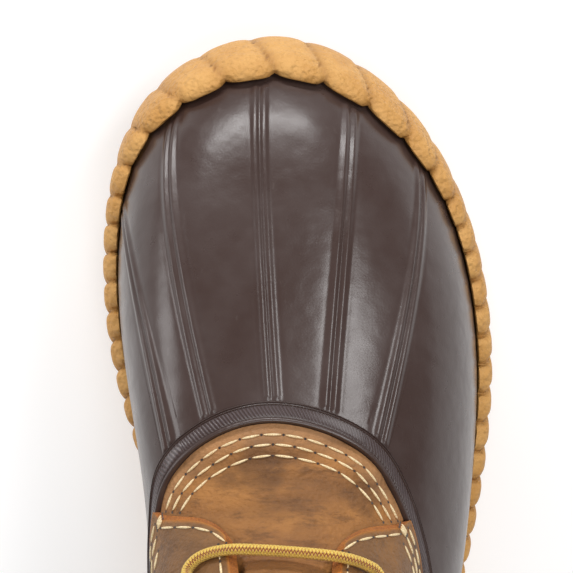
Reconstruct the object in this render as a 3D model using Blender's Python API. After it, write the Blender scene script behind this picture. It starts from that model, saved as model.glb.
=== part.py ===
"""Duck boot for the right foot, empty, standing on its sole.

A moulded rubber shell sits in a gum outsole with a lobed edge and wavy lugs. A leather tongue and a pair of
leather quarters, made as one hollow piece, rise out of the shell to a padded collar. The boot laces through
six pairs of metal eyelets. Metres, +Z up, toe towards +Y, the outer side of the foot towards +X.

The whole upper follows one form. Sixteen staves stand round the foot, numbered from the back of the heel by
the outer side to the toe tip and home by the inner side. Going up a stave, rise 0 is the feather edge on the
sole, rise 1 the rim of the shell and rise 2 the top of the collar. Every piece is a layer of that form.
"""

import math
from collections import namedtuple

import bmesh
import bpy
import numpy as np
from mathutils import Matrix, Vector

# Driving sizes of the foot and the boot
LENGTH = 0.306
BALL_WIDTH = 0.116
INSTEP_HEIGHT = 0.087
BOOT_HEIGHT = 0.216

# The outsole
HEEL_THICKNESS = 0.025
FOREFOOT_THICKNESS = 0.0155
TOE_SPRING = 0.011
SPRING_START = 0.22
HEEL_BREAK = (-0.30, 0.14)
ARCH_RISE = 0.002
ARCH_BACK = (-0.24, -0.14)
ARCH_FRONT = (0.0, 0.10)
LUG_HEIGHT = 0.004
LUG_WIDTH = 0.0055
LUG_PITCH = 0.0130
LUG_WAVE = 0.0028
LUG_WAVE_LENGTH = 0.028
LUG_MARGIN = 0.004
LUG_ROOT = 0.001
SOLE_LEDGE = 0.0048
EDGE_WALL = 0.0024
LOBE_DEPTH = 0.0018
LOBE_PITCH = 0.009
TOE_LOBE_PITCH = 0.0165
TOE_LOBE_STAVES = (1.9, 0.8)
LOBE_CROWN = 0.0016
LOBE_TUCK = 0.0008
LOBE_CREST = (0.26, 0.74)
LOBE_ROUND = 0.0009
EDGE_LEVELS = (0.4, 0.85)
TRAY_EASE = 0.0005
CAP_SHARES = (0.8, 0.45)
SPINE_BACK = 0.045
SPINE_FRONT = 0.050

# Walls, linings and layers
SHELL_WALL = 0.0028
LEATHER_WALL = 0.0020
TONGUE_WALL = 0.0018
TONGUE_SKIVE = 0.0005
TONGUE_PADDING = 0.0045
INSOLE_THICKNESS = 0.004
INSOLE_ROUND = 0.001
INSOLE_COLUMNS = 40
GAP = 0.0003

# How the leather lies against the form: the tongue inside it, the quarters over the tongue
LEATHER_SINK = 0.0003
QUARTER_LIFT = 0.0018
QUARTER_LIFT_STAVES = (4.2, 3.0)
TONGUE_SINK = 0.0005
TONGUE_EASE = 0.0008

# Relief of the shell
RIM_BAND_WIDTH = 0.0050
RIM_BAND_HEIGHT = 0.0010
FLANGE_LENGTH = 0.009
FLANGE_WALL = 0.0014
RIB_WIDTH = 0.0056
RIB_HEIGHT = 0.0011
RIB_SLOPE = 0.0010
RIB_STAVES = (6.75, 7.42, 8.08, 8.80, 9.72)
RIB_HEAD_GAP = 0.003
SIDE_COLUMNS = (2.05, 2.32, 2.57, 2.82, 3.07, 3.32, 3.62, 3.92, 4.22, 4.52, 4.87, 5.22, 5.56, 5.9)
SIDE_COLUMNS += (6.2, 6.5, 6.8, 7.1, 7.32, 7.55, 7.78, 8.0)
RIB_ROWS = ((0.05, 0), (0.13, 1), (0.32, 1), (0.53, 1), (0.74, 1), (0.95, 1), (1.0, 0))

# The shaft of the form. Pairs give a value for the heel and one for the toe.
COLLAR_DEPTH = 0.112
COLLAR_BREADTH = 0.082
COLLAR_BACK = 0.010
COLLAR_SHIFT = -0.0036
COLLAR_DROP = 0.004
COLLAR_SKEW = math.radians(12)
ANKLE_DROP = (0.38, 0.66)
ANKLE_NARROW = 0.86
ANKLE_FORWARD = 0.004
INSTEP_REACH = (1.0, 0.5)
INSTEP_LIFT = 0.011
INSTEP_BULGE = 0.003
BULGE_STAVE = 4.8
BULGE_REACH = 4.2

# The leather upper. Rows and columns are rises, staves or shares of the way up a piece.
COLLAR_BAND = 0.024
COLLAR_PADDING = 0.0075
COLLAR_PADDING_STAVES = (1.5, 2.4)
COLLAR_ROWS = ((0, 0.0, 0.0), (0.3, 0.0008, 0.8), (0.75, 0.0006, 1.0), (1, -0.0014, 0.35))
TONGUE_RISE = 0.016
TONGUE_ROUND = 0.30
TONGUE_ROWS = (1.0, 1.06, 1.13, 1.2, 1.28, 1.37, 1.47, 1.58, 1.7, 1.83, 2.0)
TONGUE_COLUMNS = 13
TONGUE_HALF_LOW = 2.75
TONGUE_HALF_HIGH = 1.42
TONGUE_NARROW_RISES = (1.0, 1.22)
TONGUE_EASE_RISES = (1.05, 1.25)
TONGUE_PADDING_RISES = (1.3, 1.5)
TONGUE_SKIVE_TOP = 1.15
THROAT_HALF = 0.72
WING_ALONG_OUTER = 0.0120
WING_ALONG_INNER = 0.0143
WING_ROUND = 0.0095
QUARTER_FRONT_COLUMNS = (0, 0.12, 0.3, 0.55, 0.85, 1.2)
QUARTER_SIDE_COLUMNS = (2.32, 2.82, 3.32, 3.92, 4.52, 5.22, 5.9, 6.5, 6.8, 7.1, 7.32)
QUARTER_ROWS = (0, 0.09, 0.18, 0.27, 0.37, 0.48, 0.6, 0.73, 0.86, 1)
BACKSTAY_STEPS = (0.45, 0.3, 0.15, 0, -0.15, -0.3, -0.45)
BACKSTAY_WALL = 0.0016

# Eyelets and lace
EYELET_PAIRS = 6
EYELET_BORE = 0.0023
EYELET_BARREL = 0.00045
EYELET_FLANGE = 0.0018
EYELET_HEAD = 0.0008
EYELET_SEAT = 0.0005
EYELET_INSET_LOW = 0.0145
EYELET_INSET_OUTER = 0.0172
EYELET_INSET_HIGH = 0.0100
EYELET_FIRST_ALONG = -0.006
EYELET_FIRST_STAVE = 1.4
EYELET_LAST_GAP = 0.010
EYELET_SIDES = 8
EYELET_HOLE_DEPTH = 0.016
EYELET_CLEAR = EYELET_BORE + EYELET_BARREL + EYELET_FLANGE + 0.0010
LACE_RADIUS = 0.0016

# Places of the bar between a throat edge and its eyelet, as a share of the way and a place along the foot
BAR_OUTER = ((-0.1, 0.0022), (0.25, 0.0012), (0.6, -0.0002), (0.85, -0.0016))
BAR_INNER = ((-0.1, 0.0038), (0.25, 0.0034), (0.55, 0.0024), (0.82, 0.0006))

# Where a crossing comes out of the throat, crosses and leaves over the other edge, as shares of the way up
CROSSING_START = 0.42
CROSSING_MIDDLE = 0.38
CROSSING_EDGE = 0.66

# Heights of the lace's middle off the form
ON_QUARTER = QUARTER_LIFT + LACE_RADIUS + GAP
ON_TONGUE = LACE_RADIUS + GAP - TONGUE_SINK
OVER_EDGE = ON_QUARTER + 2 * GAP

# One row for each stave. Along values are shares of LENGTH, across values of BALL_WIDTH, and heights, edge
# and belly values of INSTEP_HEIGHT. "sole" is the outline of the outsole, "belly" how far and how high the
# wall swells above the feather edge, "shoulder" where it turns over, "rim" the top of the shell, and "edge"
# the height of the outsole's wall.
Stave = namedtuple(
    "Stave",
    "name sole_along sole_across belly_out belly_up"
    " shoulder_along shoulder_across shoulder_height rim_along rim_across rim_height edge",
)
STAVES = (
    Stave("heel back", -0.496, -0.026, 0.046, 0.21, -0.482, -0.026, 0.71, -0.469, -0.026, 0.914, 0.41),
    Stave("outer heel corner", -0.421, 0.284, 0.040, 0.21, -0.415, 0.255, 0.71, -0.405, 0.232, 0.902, 0.39),
    Stave("outer heel side", -0.277, 0.336, 0.040, 0.21, -0.279, 0.319, 0.69, -0.281, 0.276, 0.856, 0.36),
    Stave("outer waist", -0.131, 0.361, 0.069, 0.21, -0.142, 0.366, 0.67, -0.150, 0.302, 0.822, 0.33),
    Stave("outer arch", 0.014, 0.430, 0.092, 0.25, -0.020, 0.414, 0.71, -0.042, 0.309, 0.845, 0.31),
    Stave("outer ball", 0.158, 0.491, 0.052, 0.34, 0.085, 0.388, 0.77, 0.029, 0.272, 0.897, 0.31),
    Stave("outer toe", 0.303, 0.455, 0.029, 0.39, 0.216, 0.371, 0.77, 0.069, 0.228, 0.937, 0.37),
    Stave("outer toe corner", 0.434, 0.282, 0.023, 0.41, 0.301, 0.207, 0.815, 0.108, 0.142, 0.977, 0.48),
    Stave("toe tip", 0.5024, -0.047, 0.023, 0.39, 0.353, -0.069, 0.83, 0.132, -0.052, 1.000, 0.54),
    Stave("inner toe corner", 0.445, -0.384, 0.023, 0.41, 0.310, -0.310, 0.82, 0.114, -0.224, 0.983, 0.50),
    Stave("inner toe", 0.307, -0.491, 0.046, 0.39, 0.206, -0.405, 0.78, 0.075, -0.322, 0.940, 0.35),
    Stave("inner ball", 0.163, -0.457, 0.040, 0.32, 0.088, -0.392, 0.76, 0.029, -0.349, 0.889, 0.31),
    Stave("inner arch", 0.024, -0.334, 0.103, 0.23, 0.000, -0.384, 0.69, -0.026, -0.359, 0.845, 0.31),
    Stave("inner waist", -0.122, -0.317, 0.069, 0.21, -0.132, -0.358, 0.67, -0.141, -0.341, 0.822, 0.33),
    Stave("inner heel side", -0.268, -0.343, 0.040, 0.21, -0.271, -0.341, 0.69, -0.275, -0.306, 0.856, 0.36),
    Stave("inner heel corner", -0.414, -0.321, 0.040, 0.21, -0.412, -0.289, 0.71, -0.404, -0.267, 0.902, 0.39),
)
ROUND = len(STAVES)
TOE = ROUND / 2


def ring_spline(values):
    """A smooth closed curve through one value for each stave, as a function of the stave number."""
    count = len(values)
    matrix = np.zeros((count, count))
    for i in range(count):
        matrix[i, i] = 4 / 6
        matrix[i, (i + 1) % count] = matrix[i, i - 1] = 1 / 6
    weights = np.linalg.solve(matrix, np.array(values, float))

    def value(stave):
        i = math.floor(stave)
        t = stave - i
        basis = ((1 - t) ** 3, 3 * t**3 - 6 * t**2 + 4, -3 * t**3 + 3 * t**2 + 3 * t + 1, t**3)
        return sum(b * weights[(i - 1 + k) % count] for k, b in enumerate(basis)) / 6

    return value


CURVES = {
    field: ring_spline([getattr(row, field) for row in STAVES]) for field in Stave._fields if field != "name"
}


def smooth(low, high, value):
    """0 below low, 1 above high, and an S curve between them."""
    t = min(1.0, max(0.0, (value - low) / (high - low)))
    return t * t * (3 - 2 * t)


def mix(a, b, share):
    """A straight blend from a to b."""
    return a + (b - a) * share


def from_toe(stave):
    """How many staves away from the toe tip a place is, never more than half of the way round."""
    return abs((stave - TOE + ROUND / 2) % ROUND - ROUND / 2)


def frontness(stave):
    """1 at the toe, 0 at the heel, and smooth between."""
    return 0.5 + 0.5 * math.cos(2 * math.pi * (stave - TOE) / ROUND)


def toe_lift(along):
    """How far the sole is turned up off the floor in front of the ball."""
    return TOE_SPRING * (max(0.0, along / LENGTH - SPRING_START) / (0.5 - SPRING_START)) ** 2


def ground(along):
    """Height of the tread above the floor: flat at heel and forefoot, raised at the arch and the toe."""
    arch = smooth(*ARCH_BACK, along / LENGTH) * (1 - smooth(*ARCH_FRONT, along / LENGTH))
    return toe_lift(along) + ARCH_RISE * arch


def seat(along):
    """Height of the surface that the shell's lower edge stands over."""
    return mix(HEEL_THICKNESS, FOREFOOT_THICKNESS, smooth(*HEEL_BREAK, along / LENGTH)) + toe_lift(along)


def outline(stave):
    """The sole's outline in plan."""
    return Vector((CURVES["sole_across"](stave) * BALL_WIDTH, CURVES["sole_along"](stave) * LENGTH, 0))


def outward(stave):
    """A unit vector in plan, square to the sole's outline and pointing away from the foot."""
    step = 0.02
    tangent = outline(stave + step) - outline(stave - step)
    return Vector((tangent.y, -tangent.x, 0)).normalized()


def collar_point(stave):
    """The collar is an oval, a little lower at the back."""
    away = from_toe(stave)
    angle = math.pi * away / TOE - COLLAR_SKEW * math.sin(math.pi * away / TOE)
    side = 1 if (stave - TOE) % ROUND > ROUND / 2 else -1
    centre = COLLAR_BACK + COLLAR_DEPTH / 2 - LENGTH / 2
    return Vector(
        (
            COLLAR_SHIFT + side * COLLAR_BREADTH / 2 * math.sin(angle),
            centre + COLLAR_DEPTH / 2 * math.cos(angle),
            BOOT_HEIGHT - COLLAR_DROP * (1 - frontness(stave)),
        )
    )


def stave_points(stave):
    """The seven control points of a stave: two cubic curves that meet smoothly at the rim."""
    curve = {field: spline(stave) for field, spline in CURVES.items()}
    out = outward(stave)
    foot = outline(stave) - out * SOLE_LEDGE
    foot.z = seat(foot.y)
    belly = foot + (out * curve["belly_out"] + Vector((0, 0, curve["belly_up"]))) * INSTEP_HEIGHT
    shoulder = Vector(
        (
            curve["shoulder_across"] * BALL_WIDTH,
            curve["shoulder_along"] * LENGTH,
            curve["shoulder_height"] * INSTEP_HEIGHT,
        )
    )
    rim = Vector(
        (curve["rim_across"] * BALL_WIDTH, curve["rim_along"] * LENGTH, curve["rim_height"] * INSTEP_HEIGHT)
    )
    collar = collar_point(stave)
    front = frontness(stave) ** 2
    instep = rim + (rim - shoulder) * mix(*INSTEP_REACH, front)
    away = min(1.0, abs(stave % ROUND - BULGE_STAVE) / BULGE_REACH)
    instep += Vector((INSTEP_BULGE, 0, INSTEP_LIFT)) * math.cos(away * math.pi / 2) ** 2
    drop = (collar.z - rim.z) * mix(*ANKLE_DROP, front)
    ankle = collar - Vector((0, 0, drop))
    ankle.x = COLLAR_SHIFT + (collar.x - COLLAR_SHIFT) * ANKLE_NARROW
    ankle.y += ANKLE_FORWARD * (1 - frontness(stave))
    return foot, belly, shoulder, rim, instep, ankle, collar


STAVE_CACHE = {}


def form(stave, rise):
    """A point of the form. Beyond rise 2 it goes on straight up from the collar."""
    key = round(stave % ROUND, 6)
    if key not in STAVE_CACHE:
        STAVE_CACHE[key] = stave_points(stave)
    points = STAVE_CACHE[key]
    if rise > 2:
        return points[6] + (points[6] - points[5]) * 3 * (rise - 2)
    a, b, c, d = points[:4] if rise <= 1 else points[3:]
    t = rise if rise <= 1 else rise - 1
    return a * (1 - t) ** 3 + b * 3 * t * (1 - t) ** 2 + c * 3 * t * t * (1 - t) + d * t**3


def climb(stave, rise):
    """How fast a stave moves with its rise."""
    step = 0.004
    return (form(stave, rise + step) - form(stave, rise - step)) / (2 * step)


def around(stave, rise):
    """How fast the form moves with the stave number."""
    step = 0.02
    return (form(stave + step, rise) - form(stave - step, rise)) / (2 * step)


def normal(stave, rise):
    """The unit vector that points out of the form."""
    return around(stave, rise).cross(climb(stave, rise)).normalized()


def layer(stave, rise, offset):
    """A point that lies the given distance outside the form, or inside it where that is negative."""
    return form(stave, rise) + normal(stave, rise) * offset


def rise_for(stave, distance):
    """The step in rise that is this distance at the rim, measured square to the rim."""
    up = climb(stave, 1.0)
    along = around(stave, 1.0).normalized()
    return distance / (up - along * up.dot(along)).length


def rise_where(stave, low, high, test):
    """The rise between low and high where test turns from true to false."""
    for _ in range(30):
        middle = (low + high) / 2
        if test(form(stave, middle)):
            low = middle
        else:
            high = middle
    return (low + high) / 2


def add_object(name, mesh, finish):
    """Makes an object of the boot from a mesh and one of its materials."""
    obj = bpy.data.objects.new(name, mesh)
    collection.objects.link(obj)
    obj.data.materials.append(materials[finish])
    return obj


def mesh_from(name, build):
    """Runs build on an empty bmesh and keeps the result, facing outwards and shaded smooth."""
    bm = bmesh.new()
    build(bm)
    bmesh.ops.recalc_face_normals(bm, faces=bm.faces)
    mesh = bpy.data.meshes.new(name)
    bm.to_mesh(mesh)
    bm.free()
    mesh.shade_smooth()
    mesh.set_sharp_from_angle(angle=math.radians(35))
    return mesh


def skin(bm, rings, closed):
    """Joins each ring of vertices to the next. A ring may have a multiple of its neighbour's vertices."""
    for low, high in zip(rings, rings[1:]):
        fine, coarse = (low, high) if len(low) >= len(high) else (high, low)
        ratio = len(fine) // len(coarse)
        for i in range(len(coarse) if closed else len(coarse) - 1):
            edge = [fine[(i * ratio + k) % len(fine)] for k in range(ratio + 1)]
            bm.faces.new(edge + [coarse[(i + 1) % len(coarse)], coarse[i]])


def add_rings(bm, rings):
    """Adds rings of points as vertices."""
    return [[bm.verts.new(point) for point in ring] for ring in rings]


def cap_across(bm, ring):
    """Closes a ring round the foot with strips from its outer side to its inner side."""
    count = len(ring)
    for i in range(count // 2):
        face = (ring[i], ring[i + 1], ring[count - i - 1], ring[-i % count])
        bm.faces.new(dict.fromkeys(face))


def wall(bm, outer, inner, closed):
    """A wall between two faces of a layer, given as rings from its lower to its upper edge."""
    outer_rings = add_rings(bm, outer)
    inner_rings = add_rings(bm, inner)
    loop = outer_rings + inner_rings[::-1]
    skin(bm, loop + [loop[0]], closed)
    if not closed:
        for end in (0, -1):
            for k in range(len(outer) - 1):
                low, high = outer_rings[k][end], outer_rings[k + 1][end]
                bm.faces.new((low, high, inner_rings[k + 1][end], inner_rings[k][end]))


def span(start, end, count):
    """Evenly spaced values, both ends among them."""
    return [mix(start, end, i / (count - 1)) for i in range(count)]


def lobe_staves():
    """Stave numbers where the outsole's lobes begin, closer along the sides than round the toe."""
    steps = 1600
    phase = [0.0]
    for i in range(steps):
        stave = ROUND * (i + 0.5) / steps
        toe = smooth(*TOE_LOBE_STAVES, from_toe(stave))
        length = (outline(ROUND * (i + 1) / steps) - outline(ROUND * i / steps)).length
        phase.append(phase[-1] + length / mix(LOBE_PITCH, TOE_LOBE_PITCH, toe))
    lobes = 2 * round(phase[-1] / 2)
    phase = np.array(phase) * lobes / phase[-1]
    return list(np.interp(np.arange(lobes), phase, np.linspace(0, ROUND, steps + 1)))


def edge_rise(stave):
    """The rise at which the shell comes out of the outsole."""
    height = CURVES["edge"](stave) * INSTEP_HEIGHT
    return rise_where(stave, 0.0, 0.6, lambda point: point.z < height)


def rib_columns():
    """Pairs of a stave and a distance beside it, in order round the shell, with each rib's share of height."""
    columns = []
    half = RIB_WIDTH / 2
    edges = ((-half, 0), (RIB_SLOPE - half, 1), (half - RIB_SLOPE, 1), (half, 0))
    for k, rib in enumerate(RIB_STAVES):
        columns += [(rib, distance, share) for distance, share in edges]
        if k + 1 < len(RIB_STAVES):
            columns += [(mix(rib, RIB_STAVES[k + 1], part), 0, 0) for part in (0.34, 0.66)]
    inner = [TOE + away for away in SIDE_COLUMNS]
    outer = [ROUND + TOE - away for away in SIDE_COLUMNS[-2::-1]]
    return columns + [(stave, 0, 0) for stave in inner + outer + [ROUND + RIB_STAVES[0] - 0.33]]


def build_shell(bm):
    """The rubber shell, with its rim band, the flange behind the leather, and the ribs on its toe."""
    flange_face = LEATHER_SINK + LEATHER_WALL + 2 * GAP
    outer, inner = [], []
    for stave, distance, rib in rib_columns():
        rim = 1 - rise_for(stave, RIM_BAND_WIDTH)
        head = rim - rise_for(stave, RIB_HEAD_GAP)
        edge = edge_rise(stave)
        lip = rise_for(stave, RIB_SLOPE)
        top = 1 + rise_for(stave, FLANGE_LENGTH)
        rows = [(0, 0), (edge, 0)]
        rows += [(mix(edge, head, share), RIB_HEIGHT * rib * on) for share, on in RIB_ROWS]
        rows += [(rim, 0), (rim + lip, RIM_BAND_HEIGHT), (1, RIM_BAND_HEIGHT), (1, -flange_face)]
        rows.append((top, -flange_face))
        outer.append([])
        for rise, height in rows:
            across = around(stave, rise)
            across -= climb(stave, rise).normalized() * across.dot(climb(stave, rise).normalized())
            outer[-1].append(layer(stave + distance / across.length, rise, height))
        back = -flange_face - FLANGE_WALL
        rows = [(0, -SHELL_WALL), (edge, -SHELL_WALL), (0.5, -SHELL_WALL)]
        rows += [(0.75, -SHELL_WALL), (rim - lip, -SHELL_WALL), (1, back), (top, back)]
        inner.append([layer(stave, rise, offset) for rise, offset in rows])
    wall(bm, list(zip(*outer)), list(zip(*inner)), closed=True)


def spine(stave):
    """The middle of the foot opposite a place on the outline."""
    here, partner = outline(stave), outline(-stave)
    along = min(max(here.y, SPINE_BACK - LENGTH / 2), LENGTH / 2 - SPINE_FRONT)
    return Vector(((here.x + partner.x) / 2, along, 0))


def inset(stave, point, share, height):
    """A point drawn in towards the spine, at a height that follows its place along the foot."""
    drawn = spine(stave).lerp(Vector((point.x, point.y, 0)), share)
    drawn.z = height(drawn.y)
    return drawn


def tread_root(along):
    """Height of the outsole's underside between the lugs."""
    return ground(along) + LUG_HEIGHT


def seat_top(along):
    """Height of the tray's floor, just under the shell."""
    return seat(along) - GAP


def build_sole_body(bm):
    """The outsole without its lugs: a tray whose lobed wall stands round the foot of the shell."""
    starts = lobe_staves()
    fine = []
    for start, end in zip(starts, starts[1:] + [ROUND]):
        fine += [(start, 0)] + [(mix(start, end, share), 1) for share in LOBE_CREST]
    rows = [[] for _ in range(6)]
    for stave, crest in fine:
        out = outward(stave)
        edge = edge_rise(stave)
        valley = LOBE_DEPTH * (1 - crest)
        thickness = GAP + EDGE_WALL + LOBE_DEPTH - valley
        foot = outline(stave) - out * (valley + LOBE_TUCK)
        foot.z = tread_root(foot.y)
        crown = layer(stave, edge, thickness - LOBE_ROUND)
        crown.z += LOBE_CROWN * crest
        floor = layer(stave, 0, TRAY_EASE)
        floor.z = seat_top(floor.y)
        low, high = (edge * level for level in EDGE_LEVELS)
        points = [foot, layer(stave, low, SOLE_LEDGE - valley), layer(stave, high, thickness + GAP)]
        points += [crown, layer(stave, edge, TRAY_EASE), floor]
        for row, point in zip(rows, points):
            row.append(point)
    rings = add_rings(bm, rows)
    skin(bm, rings, closed=True)
    for ring, points, height in ((rings[0], rows[0], tread_root), (rings[-1], rows[-1], seat_top)):
        inside = [
            [bm.verts.new(inset(fine[i][0], points[i], share, height)) for i in range(0, len(fine), 3)]
            for share in CAP_SHARES
        ]
        skin(bm, [ring] + inside, closed=True)
        cap_across(bm, inside[-1])


def across_at(along, outer):
    """How far across the outline is at a place along the foot, on its outer or inner side."""
    low, high = (0.0, TOE) if outer else (float(ROUND), TOE)
    for _ in range(30):
        middle = (low + high) / 2
        if outline(middle).y < along:
            low = middle
        else:
            high = middle
    return outline(low).x


def build_lugs(bm):
    """Wavy bars across the tread. Neighbours wave against each other, so that they read as chain links."""
    reach = LUG_WIDTH / 2 + LUG_WAVE
    first = -LENGTH / 2 + LUG_MARGIN + reach
    count = int((LENGTH - 2 * (LUG_MARGIN + reach)) / LUG_PITCH)
    for k in range(count + 1):
        middle = first + (LENGTH - 2 * (LUG_MARGIN + reach)) * k / count
        ends = [middle - reach, middle + reach]
        inner = max(across_at(along, False) for along in ends) + LUG_MARGIN
        outer = min(across_at(along, True) for along in ends) - LUG_MARGIN
        half = LUG_WAVE_LENGTH / 2
        bends = range(math.ceil(inner / half + 0.2), math.floor(outer / half - 0.2) + 1)
        sections = []
        for x in [inner, *(bend * half for bend in bends), outer]:
            wave = LUG_WAVE * (abs((x / half + k) % 2 - 1) * 2 - 1)
            back, front = middle + wave - LUG_WIDTH / 2, middle + wave + LUG_WIDTH / 2
            corners = ((back, 0), (front, 0), (front, LUG_HEIGHT + LUG_ROOT), (back, LUG_HEIGHT + LUG_ROOT))
            sections.append([bm.verts.new((x, y, ground(y) + z)) for y, z in corners])
        skin(bm, sections, closed=True)
        bm.faces.new(sections[0])
        bm.faces.new(sections[-1])


def footbed_point(stave):
    """The place on the footbed's outline that clears the shell both at the seat and at the footbed's top."""
    top = rise_where(stave, 0.0, 0.4, lambda point: point.z < seat(point.y) + INSOLE_THICKNESS)
    points = [layer(stave, rise, -SHELL_WALL - 3 * GAP) for rise in (0, top)]
    middle = spine(stave)
    return min(points, key=lambda point: math.hypot(point.x - middle.x, point.y - middle.y))


def build_insole(bm):
    """A flat footbed inside the shell, with a rounded upper edge."""
    staves = [ROUND * i / INSOLE_COLUMNS for i in range(INSOLE_COLUMNS)]
    points = [footbed_point(stave) for stave in staves]
    side = INSOLE_THICKNESS - INSOLE_ROUND
    levels = ((0.5, 0), (1, 0), (1, side), (0.98, INSOLE_THICKNESS), (0.5, INSOLE_THICKNESS))
    rings = []
    for share, thickness in levels:
        rings.append([inset(stave, point, share, seat) for stave, point in zip(staves, points)])
        for point in rings[-1]:
            point.z += thickness
    rings = add_rings(bm, rings)
    skin(bm, rings, closed=True)
    cap_across(bm, rings[0])
    cap_across(bm, rings[-1])


def tongue_half(rise):
    """Half the tongue's width in staves: the whole front of the shell at the rim, and a strip higher up."""
    return mix(TONGUE_HALF_LOW, TONGUE_HALF_HIGH, smooth(*TONGUE_NARROW_RISES, rise))


def build_tongue(bm):
    """The vamp and tongue in one: thin leather behind the rim, padded under the lace."""
    top = 2 + TONGUE_RISE / climb(TOE, 1.99).length
    outer, inner = [], []
    for rise in (*TONGUE_ROWS, top):
        outer.append([])
        inner.append([])
        for share in span(-1, 1, TONGUE_COLUMNS):
            stave = TOE + share * tongue_half(rise)
            here = rise + rise_for(stave, GAP) if rise == 1.0 else rise
            here -= TONGUE_ROUND * (top - 2) * share**4 if rise == top else 0
            padding = TONGUE_PADDING * smooth(*TONGUE_PADDING_RISES, rise) * (1 - share**2)
            face = -TONGUE_SINK - TONGUE_EASE * smooth(*TONGUE_EASE_RISES, rise)
            outer[-1].append(layer(stave, here, face))
            skived = TONGUE_SKIVE if rise < TONGUE_SKIVE_TOP else 0
            inner[-1].append(layer(stave, here, face - TONGUE_WALL + skived - padding))
    wall(bm, outer, inner, closed=False)


def collar_rise(stave):
    """The rise at which the quarters end and the collar begins."""
    return 2 - COLLAR_BAND / climb(stave, 1.95).length


def wing_rise(stave):
    """The lower edge of a quarter: along the rim, then round the wing that crosses the tongue."""
    low = 1 + rise_for(stave, GAP)
    inside = (from_toe(stave) - THROAT_HALF) * around(stave, 1.2).length
    drop = WING_ROUND - math.sqrt(max(0.0, WING_ROUND**2 - max(0.0, WING_ROUND - inside) ** 2))
    front = WING_ALONG_OUTER if stave % ROUND < TOE else WING_ALONG_INNER
    return rise_where(stave, low, 1.7, lambda point: point.y > front - drop)


def quarter_face(stave):
    """How far the quarters' outer face lies off the form: over the tongue in front, in line behind it."""
    return mix(-LEATHER_SINK, QUARTER_LIFT, smooth(*QUARTER_LIFT_STAVES, from_toe(stave)))


def quarter_columns():
    """Staves of the quarters' columns, from the outer throat edge by the heel to the inner one."""
    front = [THROAT_HALF + step for step in QUARTER_FRONT_COLUMNS]
    side = [*front, *QUARTER_SIDE_COLUMNS, *(TOE - step for step in BACKSTAY_STEPS[:3])]
    return [TOE - step for step in side] + [0.0] + [step - TOE for step in side[::-1]]


def quarter_rises(stave):
    """Rises of the quarters' rows, from their lower edge to the collar."""
    return [mix(wing_rise(stave), collar_rise(stave), share) for share in QUARTER_ROWS]


def build_quarters(bm):
    """Both quarters and the shaft in one hollow piece, open along the throat."""
    outer, inner = [], []
    for stave in quarter_columns():
        face = quarter_face(stave)
        rises = quarter_rises(stave)
        outer.append([layer(stave, rise, face) for rise in rises])
        inner.append([layer(stave, rise, face - LEATHER_WALL) for rise in rises])
    wall(bm, list(zip(*outer)), list(zip(*inner)), closed=False)


def build_collar(bm):
    """A padded roll round the top of the quarters, flat where the tongue passes under it."""
    outer, inner = [], []
    for stave in quarter_columns():
        face = quarter_face(stave)
        start = collar_rise(stave) + 2 * GAP / climb(stave, 1.9).length
        back = face - LEATHER_WALL
        padding = COLLAR_PADDING * smooth(*COLLAR_PADDING_STAVES, from_toe(stave))
        outer.append([layer(stave, mix(start, 2, share), face + out) for share, out, _ in COLLAR_ROWS])
        inner.append([layer(stave, mix(start, 2, share), back - padding * pad) for share, _, pad in COLLAR_ROWS])
    wall(bm, list(zip(*outer)), list(zip(*inner)), closed=False)


def build_backstay(bm):
    """The strip that covers the seam at the back of the heel."""
    face = quarter_face(0) + 1.5 * GAP
    outer, inner = [], []
    for step in BACKSTAY_STEPS:
        stave = -step
        outer.append([layer(stave, rise, face + BACKSTAY_WALL) for rise in quarter_rises(stave)])
        inner.append([layer(stave, rise, face) for rise in quarter_rises(stave)])
    wall(bm, list(zip(*outer)), list(zip(*inner)), closed=False)


def eyelet_rises():
    """Rises of the eyelets: evenly spaced by distance up the middle of the tongue."""
    first = rise_where(TOE + EYELET_FIRST_STAVE, 1.0, 1.6, lambda point: point.y > EYELET_FIRST_ALONG)
    last = collar_rise(TOE) - EYELET_LAST_GAP / climb(TOE, 1.8).length
    rises = span(first, last, 41)
    lengths = np.cumsum([0] + [(form(TOE, b) - form(TOE, a)).length for a, b in zip(rises, rises[1:])])
    return list(np.interp(np.linspace(0, lengths[-1], EYELET_PAIRS), lengths, rises))


def beside_throat(rise, side, distance):
    """The stave that lies this far from a throat edge, out on the quarter, or in the gap where negative."""
    edge = TOE + side * THROAT_HALF
    return edge + side * distance / around(edge, rise).length


def eyelet_place(k, side):
    """The stave and rise of an eyelet. The pairs draw in towards the throat as they climb."""
    rise = eyelet_rises()[k]
    lowest = EYELET_INSET_OUTER if side < 0 else EYELET_INSET_LOW
    return beside_throat(rise, side, mix(lowest, EYELET_INSET_HIGH, k / (EYELET_PAIRS - 1))), rise


def standing(stave, rise, offset):
    """A frame whose Z axis points outwards, clear of the form where the form is hollow."""
    up = normal(stave, rise)
    side = around(stave, rise).normalized()
    side = (side - up * side.dot(up)).normalized()
    matrix = Matrix((side, up.cross(side), up)).transposed().to_4x4()
    middle = layer(stave, rise, offset)
    reach = EYELET_BORE + EYELET_BARREL + EYELET_FLANGE
    sides = [(reach / around(stave, rise).length, 0), (0, reach / climb(stave, rise).length)]
    near = [layer(stave + s * k, rise + r * k, offset) - middle for s, r in sides for k in (-1, 1)]
    matrix.translation = middle + up * max(0.0, *(up.dot(step) for step in near))
    return matrix


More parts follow.
